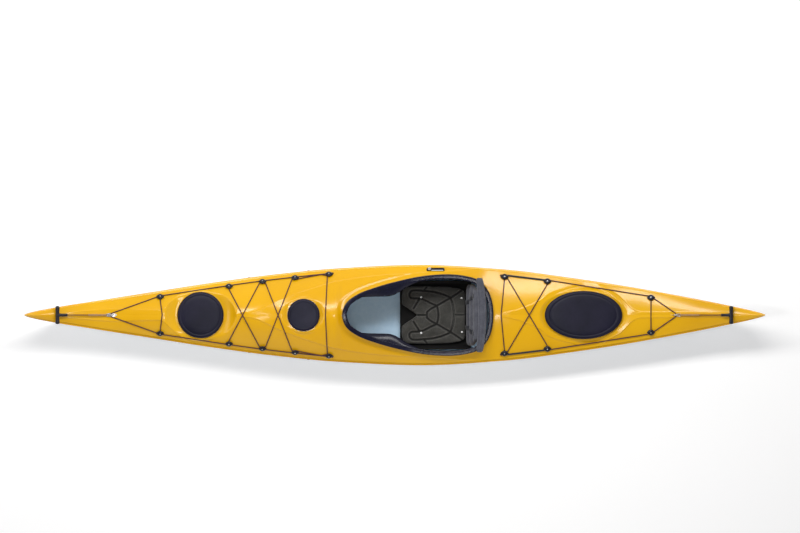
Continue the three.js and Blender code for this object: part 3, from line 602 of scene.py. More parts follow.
def foam(name):
    """Closed-cell foam: a skin of small cells."""
    n = Nodes(name)
    cells = n.cells(420)
    tone = n.math("ADD", n.math("MULTIPLY", cells, 0.8), n.noise(20, 4))
    colour = n.ramp(tone, [(0.3, (0.10, 0.12, 0.14)), (0.9, (0.2, 0.23, 0.26))])
    return n.set(colour=colour, roughness=n.range(cells, 0.75, 0.95), normal=n.bump(cells, 0.5, 0.0006))


LOOKS = {
    # The inside of the white shell, tinted blue-grey: painted shade, standing in for the cool cast of the
    # shade under the deck.
    "inside": moulded_plastic("shell_inside_painted_cool_shade", (0.42, 0.62, 0.82), (0.52, 0.70, 0.88), 0.5, 300, 0.0003),
    "deck": moulded_shell("deck_yellow", (0.77, 0.395, 0.001), (0.86, 0.465, 0.003), 0.2),
    "hull": moulded_shell("hull_white", (0.60, 0.63, 0.66), (0.68, 0.71, 0.73), 0.24),
    "black": moulded_plastic("black_plastic", (0.006, 0.006, 0.011), (0.016, 0.016, 0.026), 0.36),
    "coaming": moulded_plastic(
        "coaming_black", (0.003, 0.003, 0.014), (0.007, 0.007, 0.026), 0.22, 500, 0.0001,
    ),
    # Black plastic for the seat tray, made darker still as painted shade where it shows deep in the notch
    # under the seat pad.
    "tray": moulded_plastic("tray_black_painted_shade", (0.001, 0.001, 0.001), (0.003, 0.003, 0.003), 0.85),
    "rubber": rubber_cover("hatch_rubber"),
    "foam": foam("bulkhead_foam"),
    # The seat fabric takes painted shade in its sewn channels and a painted highlight on their piping.
    "seat": woven("seat_fabric", (0.034, 0.034, 0.031), (0.085, 0.084, 0.078), 0.0016, seams=True),
    "back": woven("back_fabric", (0.05, 0.052, 0.066), (0.13, 0.135, 0.165), 0.0018),
    "strap": woven("webbing", (0.010, 0.011, 0.015), (0.035, 0.038, 0.05), 0.0022, relief=0.0007),
    "cord": braided("cord_maroon", (0.035, 0.006, 0.005), (0.13, 0.026, 0.018)),
    "shock_cord": braided("shock_cord_maroon", (0.035, 0.006, 0.005), (0.14, 0.028, 0.018), strands=8),
    "black_cord": braided("sleeve_black", (0.004, 0.004, 0.006), (0.02, 0.02, 0.026), strands=8),
    "sleeve": braided("sleeve_tan", (0.26, 0.13, 0.04), (0.55, 0.34, 0.14), strands=5),
    "steel": stainless("stainless"),
}
# The slot name for each look that a piece can have.
SLOTS = {
    "deck": "deck_yellow", "hull": "hull_white", "rubber": "hatch_rubber", "seat": "seat_fabric",
    "back": "back_fabric", "strap": "webbing", "steel": "steel",
    **dict.fromkeys(("black", "coaming", "tray"), "black_plastic"),
    **dict.fromkeys(("cord", "shock_cord", "black_cord", "sleeve"), "cord"),
}


# ---------- hull and deck ----------

def stations(count):
    """Places along X, closer together near the ends."""
    u = np.linspace(-1, 1, count + 1)
    return HALF * MM * 0.5 * (np.sin(math.pi / 2 * u) + u)


ALONG = 700
ACROSS = 72
INNER_END = 2.01  # the hollow stops this far from the middle
OPENING = (0.10, 0.42)  # the heights between which the deck's openings are cut


def hull_section(x, steps, inset=0.0):
    """Half of the hull's section from the keel to the seam, as rows of (y, z)."""
    full = fullness(x) / (1000 * MM)
    rise, reach = 2 / (1.4 + 2.6 * full), 2 / (1 + 0.6 * full)
    beam = half_beam(x) - inset
    flat = min((2 + 26 * full) * MM, beam / 2)
    low, high = keel_z(x) + inset, seam_z(x)
    a = np.linspace(0, math.pi / 2, steps + 1)
    cosine = np.clip(np.cos(a), 0, None)
    return np.stack([flat + (beam - flat) * np.sin(a) ** reach, high - (high - low) * cosine**rise], 1)


def both_sides(x, half):
    """A closed ring at x from half a section."""
    starboard = [(x, y, z) for y, z in half]
    port = [(x, -y, z) for y, z in half[::-1]]
    return starboard + port


def hull():
    outer = [both_sides(x, hull_section(x, ACROSS)) for x in stations(ALONG)]
    piece = new_object("hull", *skin(outer))
    inner = []
    for x in stations(160):
        if abs(x) < INNER_END:
            half = hull_section(x, 24, WALL)
            inner.append(both_sides(x, np.vstack([half, [(half[-1][0], seam_z(x) + 0.02)]])))
    low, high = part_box("skeg_box")
    slot = box_mesh(low - Vector((GAP, GAP, 0.1)), high + Vector((GAP, GAP, GAP)))
    inside = new_object("hull_inside", *skin(inner))
    inside.data.materials.append(LOOKS["inside"])
    piece.data.materials.append(LOOKS["hull"])
    cut(piece, inside, new_object("skeg_slot", *slot))
    finish(sharpen(piece, 40), "boat", "hull", ("hull_bow", "hull_middle", "hull_stern"))


def box_mesh(low, high):
    around = ((low[0], low[1]), (high[0], low[1]), (high[0], high[1]), (low[0], high[1]))
    corners = [(x, y, z) for z in (low[2], high[2]) for x, y in around]
    return corners, [(0, 3, 2, 1), (4, 5, 6, 7), (0, 1, 5, 4), (1, 2, 6, 5), (2, 3, 7, 6), (3, 0, 4, 7)]


# The deck's brim, as millimetres in from the beam and shares of the edge's height.
BRIM = [(0, 0), (0, 0.26), (0.5, 0.36), (2, 0.42), (8, 0.46), (10.5, 0.5), (11.6, 0.6), (12.2, 0.86)]


def deck_rings(xs, inset=0.0, across=ACROSS):
    """Rings of the deck, all stations at once: over the brim and the crown and down again. One column of
    points follows the creases, with more close beside it."""
    beam = half_beam(xs)
    edge = edge_height(xs)
    small = np.minimum(1, beam / (60 * MM))  # the brim's width shrinks with the beam near the ends
    brim = beam - 13 * MM * small
    crease = np.clip(crease_place(xs), 8 * MM * small, brim - 8 * MM * small)
    near = 6 * MM * small
    share = np.linspace(1, 0, across // 2 + 1)[None]
    outer = (brim - crease - near)[:, None] * share[:, :-1] + (crease + near)[:, None]
    inner = (crease - near)[:, None] * share[:, 1:]
    tight = crease[:, None] + near[:, None] * np.array([1, 0.5, 0.25, 0, -0.25, -0.5, -1])[None]
    y = np.hstack([outer, tight, inner])
    top = deck_z(np.repeat(xs[:, None], y.shape[1], 1), y)
    side = [(beam - inward * MM * small, seam_z(xs) + GAP + up * edge) for inward, up in BRIM]
    if inset:
        side = [(beam, seam_z(xs) - 0.014), (beam, seam_z(xs) + 0.3 * edge)]
        side.append((beam - 9 * MM * small, seam_z(xs) + 0.5 * edge))
    ys = np.maximum(np.column_stack([s[0] for s in side] + [y]) - inset, 0)
    zs = np.column_stack([s[1] for s in side] + [top - inset])
    x3 = np.repeat(xs[:, None], ys.shape[1], 1)
    half = np.stack([x3, ys, zs], 2)
    other = half[:, -2::-1] * np.array([1, -1, 1])
    return np.concatenate([half, other], 1)


def deck():
    piece = new_object("deck", *skin(deck_rings(stations(ALONG))))
    piece.data.materials.append(LOOKS["deck"])
    inner_xs = stations(140)
    inside = new_object("deck_inside", *skin(deck_rings(inner_xs[np.abs(inner_xs) < INNER_END], WALL, 20)))
    inside.data.materials.append(LOOKS["inside"])
    edge, inwards = coaming_edge(160)
    rim = edge + inwards * (RISER_INSET + 2 * MM)
    parts = [skin([np.column_stack([rim, np.full(len(rim), z)]) for z in OPENING])]
    for hatch in HATCHES.values():
        hole = hatch["radius"] - 30 * MM
        plug = [(0, OPENING[0]), (hole, OPENING[0]), (hole, OPENING[1]), (0, OPENING[1])]
        parts.append(turned(plug, (hatch["x"], 0, 0), hatch["stretch"], 64))
    low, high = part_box("skeg_control_track")
    middle, reach = (low + high) / 2, (high[0] - low[0]) / 2 - 9 * MM
    parts.append(box_mesh(middle - Vector((reach, 0.0065, 0.02)), middle + Vector((reach, 0.0065, 0.03))))
    cut(piece, inside, new_object("deck_openings", *merge_parts(parts)))
    riser()
    finish(sharpen(piece, 42), "boat", "deck", "deck_shell")


RISER_FOOT, RISER_INSIDE = 15.5, 22.3  # millimetres in from the coaming's edge


def riser():
    """The deck's upstand under the coaming's lip, with a fillet at its foot."""
    edge, inwards = coaming_edge(280)
    top = coaming_top(edge[:, 0]) - 6.4 * MM
    rows = []
    for inset, up in ((RISER_FOOT, -0.15), (17.2, 1.2), (18, 4)):
        spot = edge + inwards * inset * MM
        rows.append(np.column_stack([spot, deck_z(spot[:, 0], spot[:, 1]) + up * MM]))
    for inset in (18, RISER_INSIDE):
        rows.append(np.column_stack([edge + inwards * inset * MM, top]))
    spot = edge + inwards * RISER_INSIDE * MM
    rows.append(np.column_stack([spot, deck_z(edge[:, 0], edge[:, 1]) - 9 * MM]))
    spot = edge + inwards * RISER_FOOT * MM
    rows.append(np.column_stack([spot, deck_z(spot[:, 0], spot[:, 1]) - 4 * MM]))
    build("cockpit_riser", skin(np.stack(rows, 1), joined=True), 50, "boat", "deck")


# ---------- cockpit ----------

def coaming():
    """A lip with a rolled edge, a wall down inside the riser, and thigh braces that sweep in from the lip."""
    edge, inwards = coaming_edge(320)
    top = coaming_top(edge[:, 0])
    across = [
        (0.9, -4.6), (0, -3), (0.2, -1.3), (1.4, -0.2), (3.2, 0.1), (9, 0.2), (18, 0), (24, -0.5),
        (26.3, -1.6), (27, -3.4), (27, -20), (26.6, -37.4), (25, -38), (23.4, -37.4), (23, -20), (23, -6.4),
        (22.2, -5.2), (18, -5), (8, -5), (3, -5),
    ]
    rings = [np.column_stack([edge + inwards * inset * MM, top + up * MM]) for inset, up in across]
    parts = [skin(np.stack(rings, 1), joined=True)]
    inside = edge + inwards * 25 * MM
    upper = [n for n in np.argsort(inside[:, 0]) if inside[n, 1] > 0]
    xs = np.linspace(-0.194, 0.134, 90)
    outer = np.interp(xs, inside[upper, 0], inside[upper, 1])
    inner = np.minimum(brace_inner(xs), outer - 1 * MM)
    for _ in range(30):
        inner[1:-1] = (inner[:-2] + 2 * inner[1:-1] + inner[2:]) / 4
    reach = smoothstep(0, 30 * MM, outer - inner)
    section = [
        (0, -1), (0.08, -1.6), (0.3, -3.4), (0.6, -7.5), (0.84, -12), (0.95, -15), (1, -18.5), (0.985, -21),
        (0.94, -20.5), (0.8, -16.4), (0.55, -11.4), (0.25, -8), (0, -6.5),
    ]
    for side in (1, -1):
        rows = []
        for share, up in section:
            y, z = side * (outer + (inner - outer) * share), coaming_top(xs) + up * MM * (0.4 + 0.6 * reach)
            rows.append(np.column_stack([xs, y, z]))
        parts.append(skin(np.stack(rows, 1)))
    build("coaming", merge_parts(parts), 50, "boat", "coaming", "cockpit_coaming")


seat_lift = profile([(41, 18), (200, 4), (405, 8)])
SEAT_BOTTOM, SEAT_THICK = 30 * MM, 33 * MM
SEAT_OUTLINE = [
    (129, 0), (124, 6), (88, 31), (48, 57), (41, 68), (40, 110), (48, 148), (74, 164), (200, 165),
    (310, 162), (372, 152), (398, 140), (405, 122), (405, 60), (405, 0),
]
# Sewn channels on one side of the seat pad, mirrored on the other.
SEAT_CHANNELS = [
    [(170, 140), (215, 136), (272, 122), (318, 103)],
    [(170, 140), (128, 143), (98, 141), (86, 128), (84, 112), (92, 100), (152, 94), (212, 66), (243, 53)],
    [(108, 38), (120, 58), (142, 92)],
    [(186, 17), (210, 36), (243, 53), (283, 77), (322, 99), (370, 131), (392, 146)],
    [(243, 53), (249, 28), (252, 0)],
    [(322, 99), (334, 62), (340, 24), (341, 0)],
    [(132, 0), (160, 0), (184, 0), (186, 17)],
    [(344, 0), (372, 0), (402, 0)],
    [(188, 166), (176, 152), (163, 139)],
]
SEAT_SNAPS = [(152, 103), (387, 98)]


def to_lines(x, y, lines):
    """The distance of points from a set of polylines."""
    points = np.stack([x, y], 1)
    nearest = np.full(len(points), 1.0)
    for line in lines:
        line = catmull_rom(np.array(line, float) * MM, 40)
        for a, b in zip(line[:-1], line[1:]):
            along = b - a
            u = np.clip(((points - a) @ along) / (along @ along), 0, 1)[:, None]
            nearest = np.minimum(nearest, np.linalg.norm(points - a - u * along, axis=1))
    return nearest


def seat_top(x, y):
    """How far the pad's top stands over its flat level: crowned panels, raised sides and sewn channels."""
    channels = to_lines(x, np.abs(y), SEAT_CHANNELS)
    outline = to_lines(x, np.abs(y), [SEAT_OUTLINE[:-1]])
    channel = -9.5 * MM * np.exp(-((channels / (4.6 * MM)) ** 2))
    lip = 1.6 * MM * np.exp(-(((channels - 9.5 * MM) / (3 * MM)) ** 2))
    crown = 3.5 * MM * smoothstep(0, 34 * MM, np.minimum(channels, outline))
    ridge = 6 * MM * smoothstep(112 * MM, 150 * MM, np.abs(y)) * smoothstep(60 * MM, 110 * MM, x)
    dish = -6 * MM * np.exp(-(((x - 0.33) / 0.09) ** 2 + (y / 0.10) ** 2))
    return channel + lip + crown + ridge + dish - 3 * MM


def seat_pad():
    """A moulded foam pad under fabric. A slab is remeshed evenly, then its top is pressed into panels."""
    half = np.array(SEAT_OUTLINE, float) * MM
    outline = np.vstack([half, half[-2:0:-1] * (1, -1)])
    outline = rounded(outline, 5 * MM, 3)
    levels = [(0, 3 * MM), (4 * MM, 0), (26 * MM, 0), (SEAT_THICK, 3.5 * MM)]
    middle = np.array([0.22, 0])
    rings = []
    for height, inset in levels:
        spots = outline + (middle - outline) / np.linalg.norm(middle - outline, axis=1)[:, None] * inset
        rings.append(np.column_stack([spots, SEAT_BOTTOM + seat_lift(spots[:, 0]) + height]))
    piece = new_object("seat_pad_foam", *skin(rings))
    even = piece.modifiers.new("even", "REMESH")
    even.mode = "VOXEL"
    even.voxel_size = 0.003
    apply_modifiers(piece)
    points = np.array([v.co for v in piece.data.vertices])
    level = SEAT_BOTTOM + seat_lift(points[:, 0])
    share = smoothstep(0.3, 0.9, (points[:, 2] - level) / SEAT_THICK)
    points[:, 2] += share * seat_top(points[:, 0], points[:, 1])
    piece.data.vertices.foreach_set("co", points.ravel())
    # Painted shade for the fabric's colour in the sewn channels, and a painted highlight on the piping beside
    # them, stored on the pad's top points.
    seams = piece.data.attributes.new("painted_channel_shade_and_highlight", "FLOAT", "POINT")
    channels = to_lines(points[:, 0], np.abs(points[:, 1]), SEAT_CHANNELS)
    dark = np.exp(-((channels / (5 * MM)) ** 2)) - 0.5 * np.exp(-(((channels - 9.5 * MM) / (2.2 * MM)) ** 2))
    seams.data.foreach_set("value", np.where(points[:, 2] > level + 0.02, dark, 0).astype(np.float32))
    piece.data.shade_smooth()
    finish(piece, "boat", "seat", "seat_pad")
    parts = []
    for x, y in SEAT_SNAPS:
        for side in (1, -1):
            spot = np.array([[x * MM, side * y * MM]])
            top = max(seat_top(spot[:, 0], spot[:, 1])[0], 1.5 * MM)
            z = float(SEAT_BOTTOM + seat_lift(spot[0, 0]) + SEAT_THICK + 2.5 * MM + top)
            snap = [(0, 1.9), (2.2, 2.0), (3.0, 1.5), (3.6, 2.6), (5.2, 2.3), (6.2, 1.0), (6.2, -3), (0, -3)]
            parts.append(turned(in_metres(snap), (spot[0, 0], spot[0, 1], z), 1, 24))
    finish(new_object("seat_snaps", *merge_parts(parts)), "boat", "steel")


def seat_pan():
    """A thin moulded tray whose sides rise to the hips, with a rolled top edge."""
    rows = []
    for x in np.linspace(0.030, 0.438, 42):
        low = SEAT_BOTTOM - 5.3 * MM + seat_lift(x)
        hip = 0.168 - 0.1 * abs(x - 0.240) - 0.014 * (1 - smoothstep(0.030, 0.075, x))
        outer = [
            (0, low), (0.11, low), (0.150, low + 0.001), (0.172, low + 0.010), (0.184, low + 0.030),
            (0.1885, low + 0.06), (0.192, hip - 0.03), (0.1955, hip - 0.006), (0.1965, hip - 0.002),
        ]
        inner = [
            (0.1945, hip), (0.191, hip - 0.002), (0.1872, hip - 0.03), (0.1835, low + 0.062),
            (0.1795, low + 0.034), (0.169, low + 0.0155), (0.149, low + 0.006), (0.11, low + 0.005),
            (0, low + 0.005),
        ]
        half = np.vstack([catmull_rom(outer, 26), catmull_rom(inner, 26)])
        rows.append([(x, y, z) for y, z in half] + [(x, -y, z) for y, z in half[-2:0:-1]])
    piece = new_object("seat_tray", *skin(rows))
    finish(bevel(sharpen(piece, 50), 1 * MM, 2, 60), "boat", "tray", "seat_pan")


BACK_SPOT, BACK_TILT = (0.452, 0.202), math.radians(20)


def on_back(depth, y, up):
    """A point in the row frame from one on the tilted backrest: behind its middle, across it and up it."""
    x = BACK_SPOT[0] + depth * math.cos(BACK_TILT) + up * math.sin(BACK_TILT)
    z = BACK_SPOT[1] - depth * math.sin(BACK_TILT) + up * math.cos(BACK_TILT)
    return np.stack(np.broadcast_arrays(x, y, z), -1)


def back_depth(y, up):
    """How far the backrest's front stands before its middle: three pillows between sewn channels."""
    channels = np.minimum(np.abs(up + 0.032), np.abs(up - 0.026))
    swell = 0.003 * np.cos(up * 2 * math.pi / 0.058 + 0.3)
    pillow = 0.0175 - 0.008 * np.exp(-((channels / 0.0055) ** 2)) + swell
    wrinkles = 0.0007 * np.sin(y * 180 + 3 * np.sin(up * 60)) * np.exp(-((channels / 0.015) ** 2))
    return pillow + wrinkles


def backrest():
    """A ribbed pad that narrows to pass the coaming, and a wider padded band that bows aft over it."""
    rows = []
    for y in np.linspace(-0.176, 0.176, 121):
        end = math.sqrt(max(1 - (abs(y) / 0.1762) ** 10, 0.004))
        top = 0.089 - 0.075 * float(smoothstep(0.128, 0.172, abs(y)))
        low = -0.089 + 0.016 * float(smoothstep(0.150, 0.176, abs(y)))
        up = np.linspace(low, top, 64)
        share = (2 * up - low - top) / (top - low)
        edge = np.sqrt(np.clip(1 - np.abs(share) ** 8, 0.0, 1)) * end
        front = on_back(-back_depth(y, up) * edge, y, up)
        behind = on_back(0.014 * edge, y, up)[::-1]
        rows.append(np.vstack([front, behind[1:-1]]))
    body = skin(rows)
    band, reach = [], 0.214
    for y in np.linspace(-reach, reach, 101):
        end = math.sqrt(max(1 - (abs(y) / 0.2143) ** 14, 0.01))
        bow = 0.020 * (1 - (y / reach) ** 2)
        fore, aft = 0.468 + 0.6 * bow, 0.508 + bow
        middle, half = (fore + aft) / 2, (aft - fore) / 2
        turn = np.linspace(0, 2 * math.pi, 72, endpoint=False)
        c, s = np.cos(turn), np.sin(turn)
        across = middle + half * np.sign(c) * np.abs(c) ** 0.45 * (0.6 + 0.4 * end)
        up = 0.0145 * np.sign(s) * np.abs(s) ** 0.55 * end
        place = (across - fore) / (aft - fore)
        seams = np.minimum(np.abs(place - 0.26), np.abs(place - 0.68)) * (aft - fore)
        up = up - np.where(s > 0, 0.0045, -0.002) * np.exp(-((seams / 0.0035) ** 2)) * (np.abs(c) < 0.93)
        band.append(np.column_stack([across, np.full(72, y), 0.2923 + up + 0.004 * np.clip(place, 0, 1)]))
    piece = build("backrest_pad", merge_parts([body, skin(band)]), 60, "backrest", "back", "backrest")
    for name, side in (("left", -1), ("right", 1)):
        up = np.linspace(-0.066, 0.060, 40)
        middle = side * (0.072 + 0.036 * smoothstep(-0.066, 0.060, up))
        rows = []
        for u, y in zip(up, middle):
            across = y + np.array([-0.0125, -0.0118, 0, 0.0118, 0.0125, 0.0118, 0, -0.0118])
            out = np.array([0.8, 1.8, 2.1, 1.8, 0.8, -0.4, -0.4, -0.4]) * MM
            rows.append(on_back(-(back_depth(y, u) + 1.2 * MM + out), across, u))
        build(f"back_strap_{name}", skin(rows), 60, "backrest", "strap", f"backrest_strap_{name}")


# ---------- hatches ----------

def cover_profile(radius, height):
    """A cover's radii and heights in millimetres: a low dome, a ridge, a rolled edge and a hollow base."""
    dome = [(share * radius, height - drop) for share, drop in ((0, 0), (0.35, 0.3), (0.62, 1.2), (0.8, 2.4))]
    ring = [(23, 3.6), (21, 4.9), (18.5, 5), (16.5, 3.7), (12, 3.9), (6, 5.6), (2, 8.4), (0, 12)]
    edge = [(radius - inward, height - drop) for inward, drop in ring]
    foot = [(radius, 5), (radius - 0.8, 3.4), (radius - 3.2, 3.2), (radius - 4, 4.5)]
    under = [(radius - 4, height - 12), (radius - 8, height - 9.6), (0, height - 9.4)]
    return dome + edge + foot + under


def rim_profile(radius, height):
    """A rim's radii and heights in millimetres, round a ring that stops short of the cover's underside."""
    outer, inner, top = radius - 6, radius - 29, height - 10
    outside = [(outer, 0.6), (outer, top - 4), (outer + 1.2, top - 3), (outer + 1.4, top - 1.4)]
    over = [(outer - 0.5, top - 0.3), (outer - 4, top), (inner + 3, top), (inner + 0.6, top - 0.8)]
    inside = [(inner, top - 3), (inner, 0.6), (inner + 0.5, 0.3), (outer - 0.5, 0.3)]
    return outside + over + inside


def hatches():
    for name, hatch in HATCHES.items():
        size = hatch["radius"] / MM, hatch["height"] / MM
        place = (hatch["x"], 0, hatch["floor"]), hatch["stretch"], 128
        piece = new_object(f"{name}_cover", *turned(in_metres(cover_profile(*size)), *place))
        finish(sharpen(piece, 70), f"{name}_cover", "rubber", f"{name}_hatch_cover")
        piece = new_object(f"{name}_rim", *turned(in_metres(rim_profile(*size)), *place))
        finish(sharpen(piece, 50), "boat", "black", f"{name}_hatch_rim")


# ---------- deck lines and their hardware ----------

BOW_FITTINGS = [(-1353, 101), (-956, 161), (-763, 188), (-575, 210), (-380, 230)]
STERN_FITTINGS = [(633, 218), (880, 192), (1477, 98)]
PAD_EYES = {"bow": -1.636, "stern": 1.620}
TOGGLES = {"bow": -1.945, "stern": 1.940}
LINE_RADIUS = 3.2 * MM
POST_PASS = 8.9 * MM
LINE_HEIGHT = 4.2 * MM
CAP_SCALE, BAR_SCALE = 1.15, 1.12  # how much broader the caps are than their table, and the toggles' bars


def deck_lean(x, y, ground=deck_z):
    """The deck's sideways lean at a place, as an angle."""
    return -math.atan2(float(ground(x, y + MM)) - float(ground(x, y - MM)), 2 * MM)


def deck_place(x, y, ground=deck_z):
    """The matrix that puts a piece on the deck, leaning with it."""
    return Matrix.Translation((x, y, float(ground(x, y)))) @ Matrix.Rotation(-deck_lean(x, y, ground), 4, "X")


def beside_post(spot, side, inboard, along=0.0):
    """A point of a line beside a fitting's post. A negative inboard is outboard of it."""
    x, y = spot[0] * MM, side * spot[1] * MM
    lean, over = deck_lean(x, y), -side * inboard
    out = over * math.cos(lean) + LINE_HEIGHT * math.sin(lean)
    up = LINE_HEIGHT * math.cos(lean) - over * math.sin(lean)
    return (x + along, y + out, float(deck_z(x + along, y)) + up)


def route(stops, rises=()):
    """Points every 9 mm or so along a line that lies on the deck between its stops. The stretches in rises
    are lifted near the centre line, where they cross another line."""
    points = [np.array(stops[0], float)]
    for n, (start, end) in enumerate(zip(stops[:-1], stops[1:])):
        start, end = np.array(start, float), np.array(end, float)
        steps = max(int(np.linalg.norm(end - start) / 0.009), 1)
        u = np.linspace(0, 1, steps + 1)[1:-1, None]
        line = start + (end - start) * u
        ground = deck_z(line[:, 0], line[:, 1]) + LINE_HEIGHT - 1 * MM
        hump = (7.6 * MM if n in rises else 0) * np.exp(-((line[:, 1] / 0.038) ** 2))
        line[:, 2] = np.maximum(line[:, 2], ground) + hump
        points.extend(line)
        points.append(end)
    points = np.array(points)
    for _ in range(3):
        points[1:-1, 2] = (points[:-2, 2] + 2 * points[1:-1, 2] + points[2:, 2]) / 4
    return points


def cord_piece(name, points, radius, look, body="boat", replaces=(), sides=10):
    piece = new_object(name, *tube(points, radius, sides))
    cord_uvs(piece, points, float(np.max(radius)), sides)
    return finish(piece, body, look, replaces)


def knot(centre, size, radius):
    """A trefoil stopper knot."""
    t = np.linspace(0, 2 * math.pi, 49)[:-1]
    loops = [np.sin(t) + 2 * np.sin(2 * t), np.cos(t) - 2 * np.cos(2 * t), -np.sin(3 * t)]
    path = np.stack(loops, 1) * size + centre
    path = np.vstack([path, path[:1]])
    return tube(path, radius, 8)


def perimeter(fittings, eye_x, name):
    spots = sorted(fittings, key=lambda spot: -abs(spot[0] * MM - eye_x))
    away = math.copysign(15 * MM, spots[0][0] * MM - eye_x)
    start = beside_post(spots[0], -1, -POST_PASS, away)
    eye_z = float(crown_z(eye_x)) + 9 * MM
    half = [start] + [beside_post(spot, -1, -POST_PASS) for spot in spots] + [(eye_x, -9 * MM, eye_z)]
    points = route(half + [(eye_x, 0, eye_z)] + [(x, -y, z) for x, y, z in half[::-1]])
    cord_piece(f"{name}_line", points, LINE_RADIUS, "cord", replaces=f"{name}_perimeter_line")
    ends = [np.array(p) + (math.copysign(5 * MM, away), 0, 1.5 * MM) for p in (points[0], points[-1])]
    knots = merge_parts([knot(end, 1.9 * MM, 2.3 * MM) for end in ends])
    finish(new_object(f"{name}_knots", *knots), "boat", "cord")


def cord_across(spot, bulge, name, replaces):
    """A shock cord from side to side between two fittings. Its middle bulges towards the stern."""
    ends = [beside_post(spot, side, POST_PASS + 4 * MM) for side in (1, -1)]
    x = (spot[0] + bulge) * MM
    points = route([ends[0], (x, 0, float(crown_z(x)) + LINE_HEIGHT + 0.6 * MM), ends[1]])
    cord_piece(name, points, LINE_RADIUS, "shock_cord", replaces=replaces)


def hook(spot, side, toward):
    """Points of a cord that turns beside a fitting's post. toward is +1 where it comes from the bow."""
    bend = ((3, -19), (-0.5, -11), (-1.2, 0), (-0.5, 11), (3, 19))
    return [beside_post(spot, side, POST_PASS + more * MM, toward * step * MM) for more, step in bend]


def crossed_cords():
    _, second, third, fourth, fifth = BOW_FITTINGS

    def bow_half(side):
        return [
            beside_post(second, side, POST_PASS, -4 * MM), *hook(third, -side, 1), *hook(fourth, side, 1)[:4],
            beside_post(fourth, side, -1.8 * MM, 42 * MM), beside_post(fifth, side, -1.8 * MM, -42 * MM),
            beside_post(fifth, side, POST_PASS, -POST_PASS),
        ]

    x = (fifth[0] - 20) * MM
    middle = (x, 0, float(crown_z(x)) + LINE_HEIGHT + 0.8 * MM)
    points = route(bow_half(1) + [middle] + bow_half(-1)[::-1], rises=(0, 3))
    cord_piece("bow_cross_cord", points, LINE_RADIUS, "shock_cord", replaces="bow_cross_bungee")
    first, second = STERN_FITTINGS[:2]

    def stern_half(side):
        return [beside_post(second, side, POST_PASS, 4 * MM), *hook(first, -side, -1)[:3]]

    x = (first[0] - 20) * MM
    middle = (x, 0, float(crown_z(x)) + LINE_HEIGHT + 0.8 * MM)
    points = route(stern_half(1) + [middle] + stern_half(-1)[::-1], rises=(0,))
    cord_piece("stern_cross_cord", points, LINE_RADIUS, "shock_cord", replaces="stern_cross_bungee")
    for name, side in (("left", -1), ("right", 1)):
        start = beside_post(first, side, -POST_PASS - 0.5 * MM, 16 * MM)
        end = beside_post(second, side, -POST_PASS - 0.5 * MM, -16 * MM)
        points = route([start, end]) + (0, 0, 1.5 * MM)
        cord_piece(f"stern_side_sleeve_{name}", points, 5.2 * MM, "black_cord")


def diamond(radius, z, count=32):
    a = np.linspace(0, 2 * math.pi, count, endpoint=False)
    reach = radius / (np.abs(np.cos(a)) + np.abs(np.sin(a))) ** 0.35
    return np.column_stack([reach * np.cos(a), 0.8 * reach * np.sin(a), np.full(count, z)]) * MM


def deck_fitting():
    """A diamond cap on a waisted post, with its foot on the deck. Its screw is a piece of its own."""
    sections = [
        (12, -1), (13, 0.6), (12, 1.8), (7.5, 3), (6.2, 5), (7.5, 7.4), (17.5, 8.4), (20, 9), (20.3, 10.4),
        (19.6, 12), (17.4, 14), (13.6, 16.4), (10.2, 17.7), (8.2, 18), (7.4, 17.2), (7.0, 15.4),
    ]
    return skin([diamond(radius, z) for radius, z in sections])


def screw_head():
    """A pan head with a cross recess, as rings of a radius, a height and a share of the cross."""
    a = np.linspace(0, 2 * math.pi, 32, endpoint=False)
    cross = 1 - 0.45 * np.abs(np.cos(2 * a)) ** 0.6
    head = [(3.8, 14.5, 0), (4.0, 16.8, 0), (3.8, 18.0, 0), (3.2, 18.8, 0)]
    recess = [(2.6, 19.2, 0.5), (2.0, 19.1, 1), (1.7, 17.4, 1), (0.6, 17.0, 0)]
    rings = []
    for radius, z, share in head + recess:
        reach = radius * (1 - share + share * cross)
        rings.append(np.column_stack([reach * np.cos(a), reach * np.sin(a), np.full(32, z)]) * MM)
    return skin(rings)


def fittings():
    for end, spots in (("bow", BOW_FITTINGS), ("stern", STERN_FITTINGS)):
        for n, (x, y) in enumerate(spots, 1):
            for name, side in (("left", -1), ("right", 1)):
                place = deck_place(x * MM, side * y * MM)
                cap = new_object(f"{end}_cap_{name}_{n}", *deck_fitting())
                cap.data.transform(Matrix.Diagonal((CAP_SCALE, CAP_SCALE, 1, 1)))
                head = new_object(f"{end}_screw_{name}_{n}", *screw_head())
                for piece in (cap, head):
                    piece.data.transform(place)
                finish(sharpen(cap, 50), "boat", "black", f"{end}_fitting_{name}_{n}")
                finish(sharpen(head, 40), "boat", "steel")


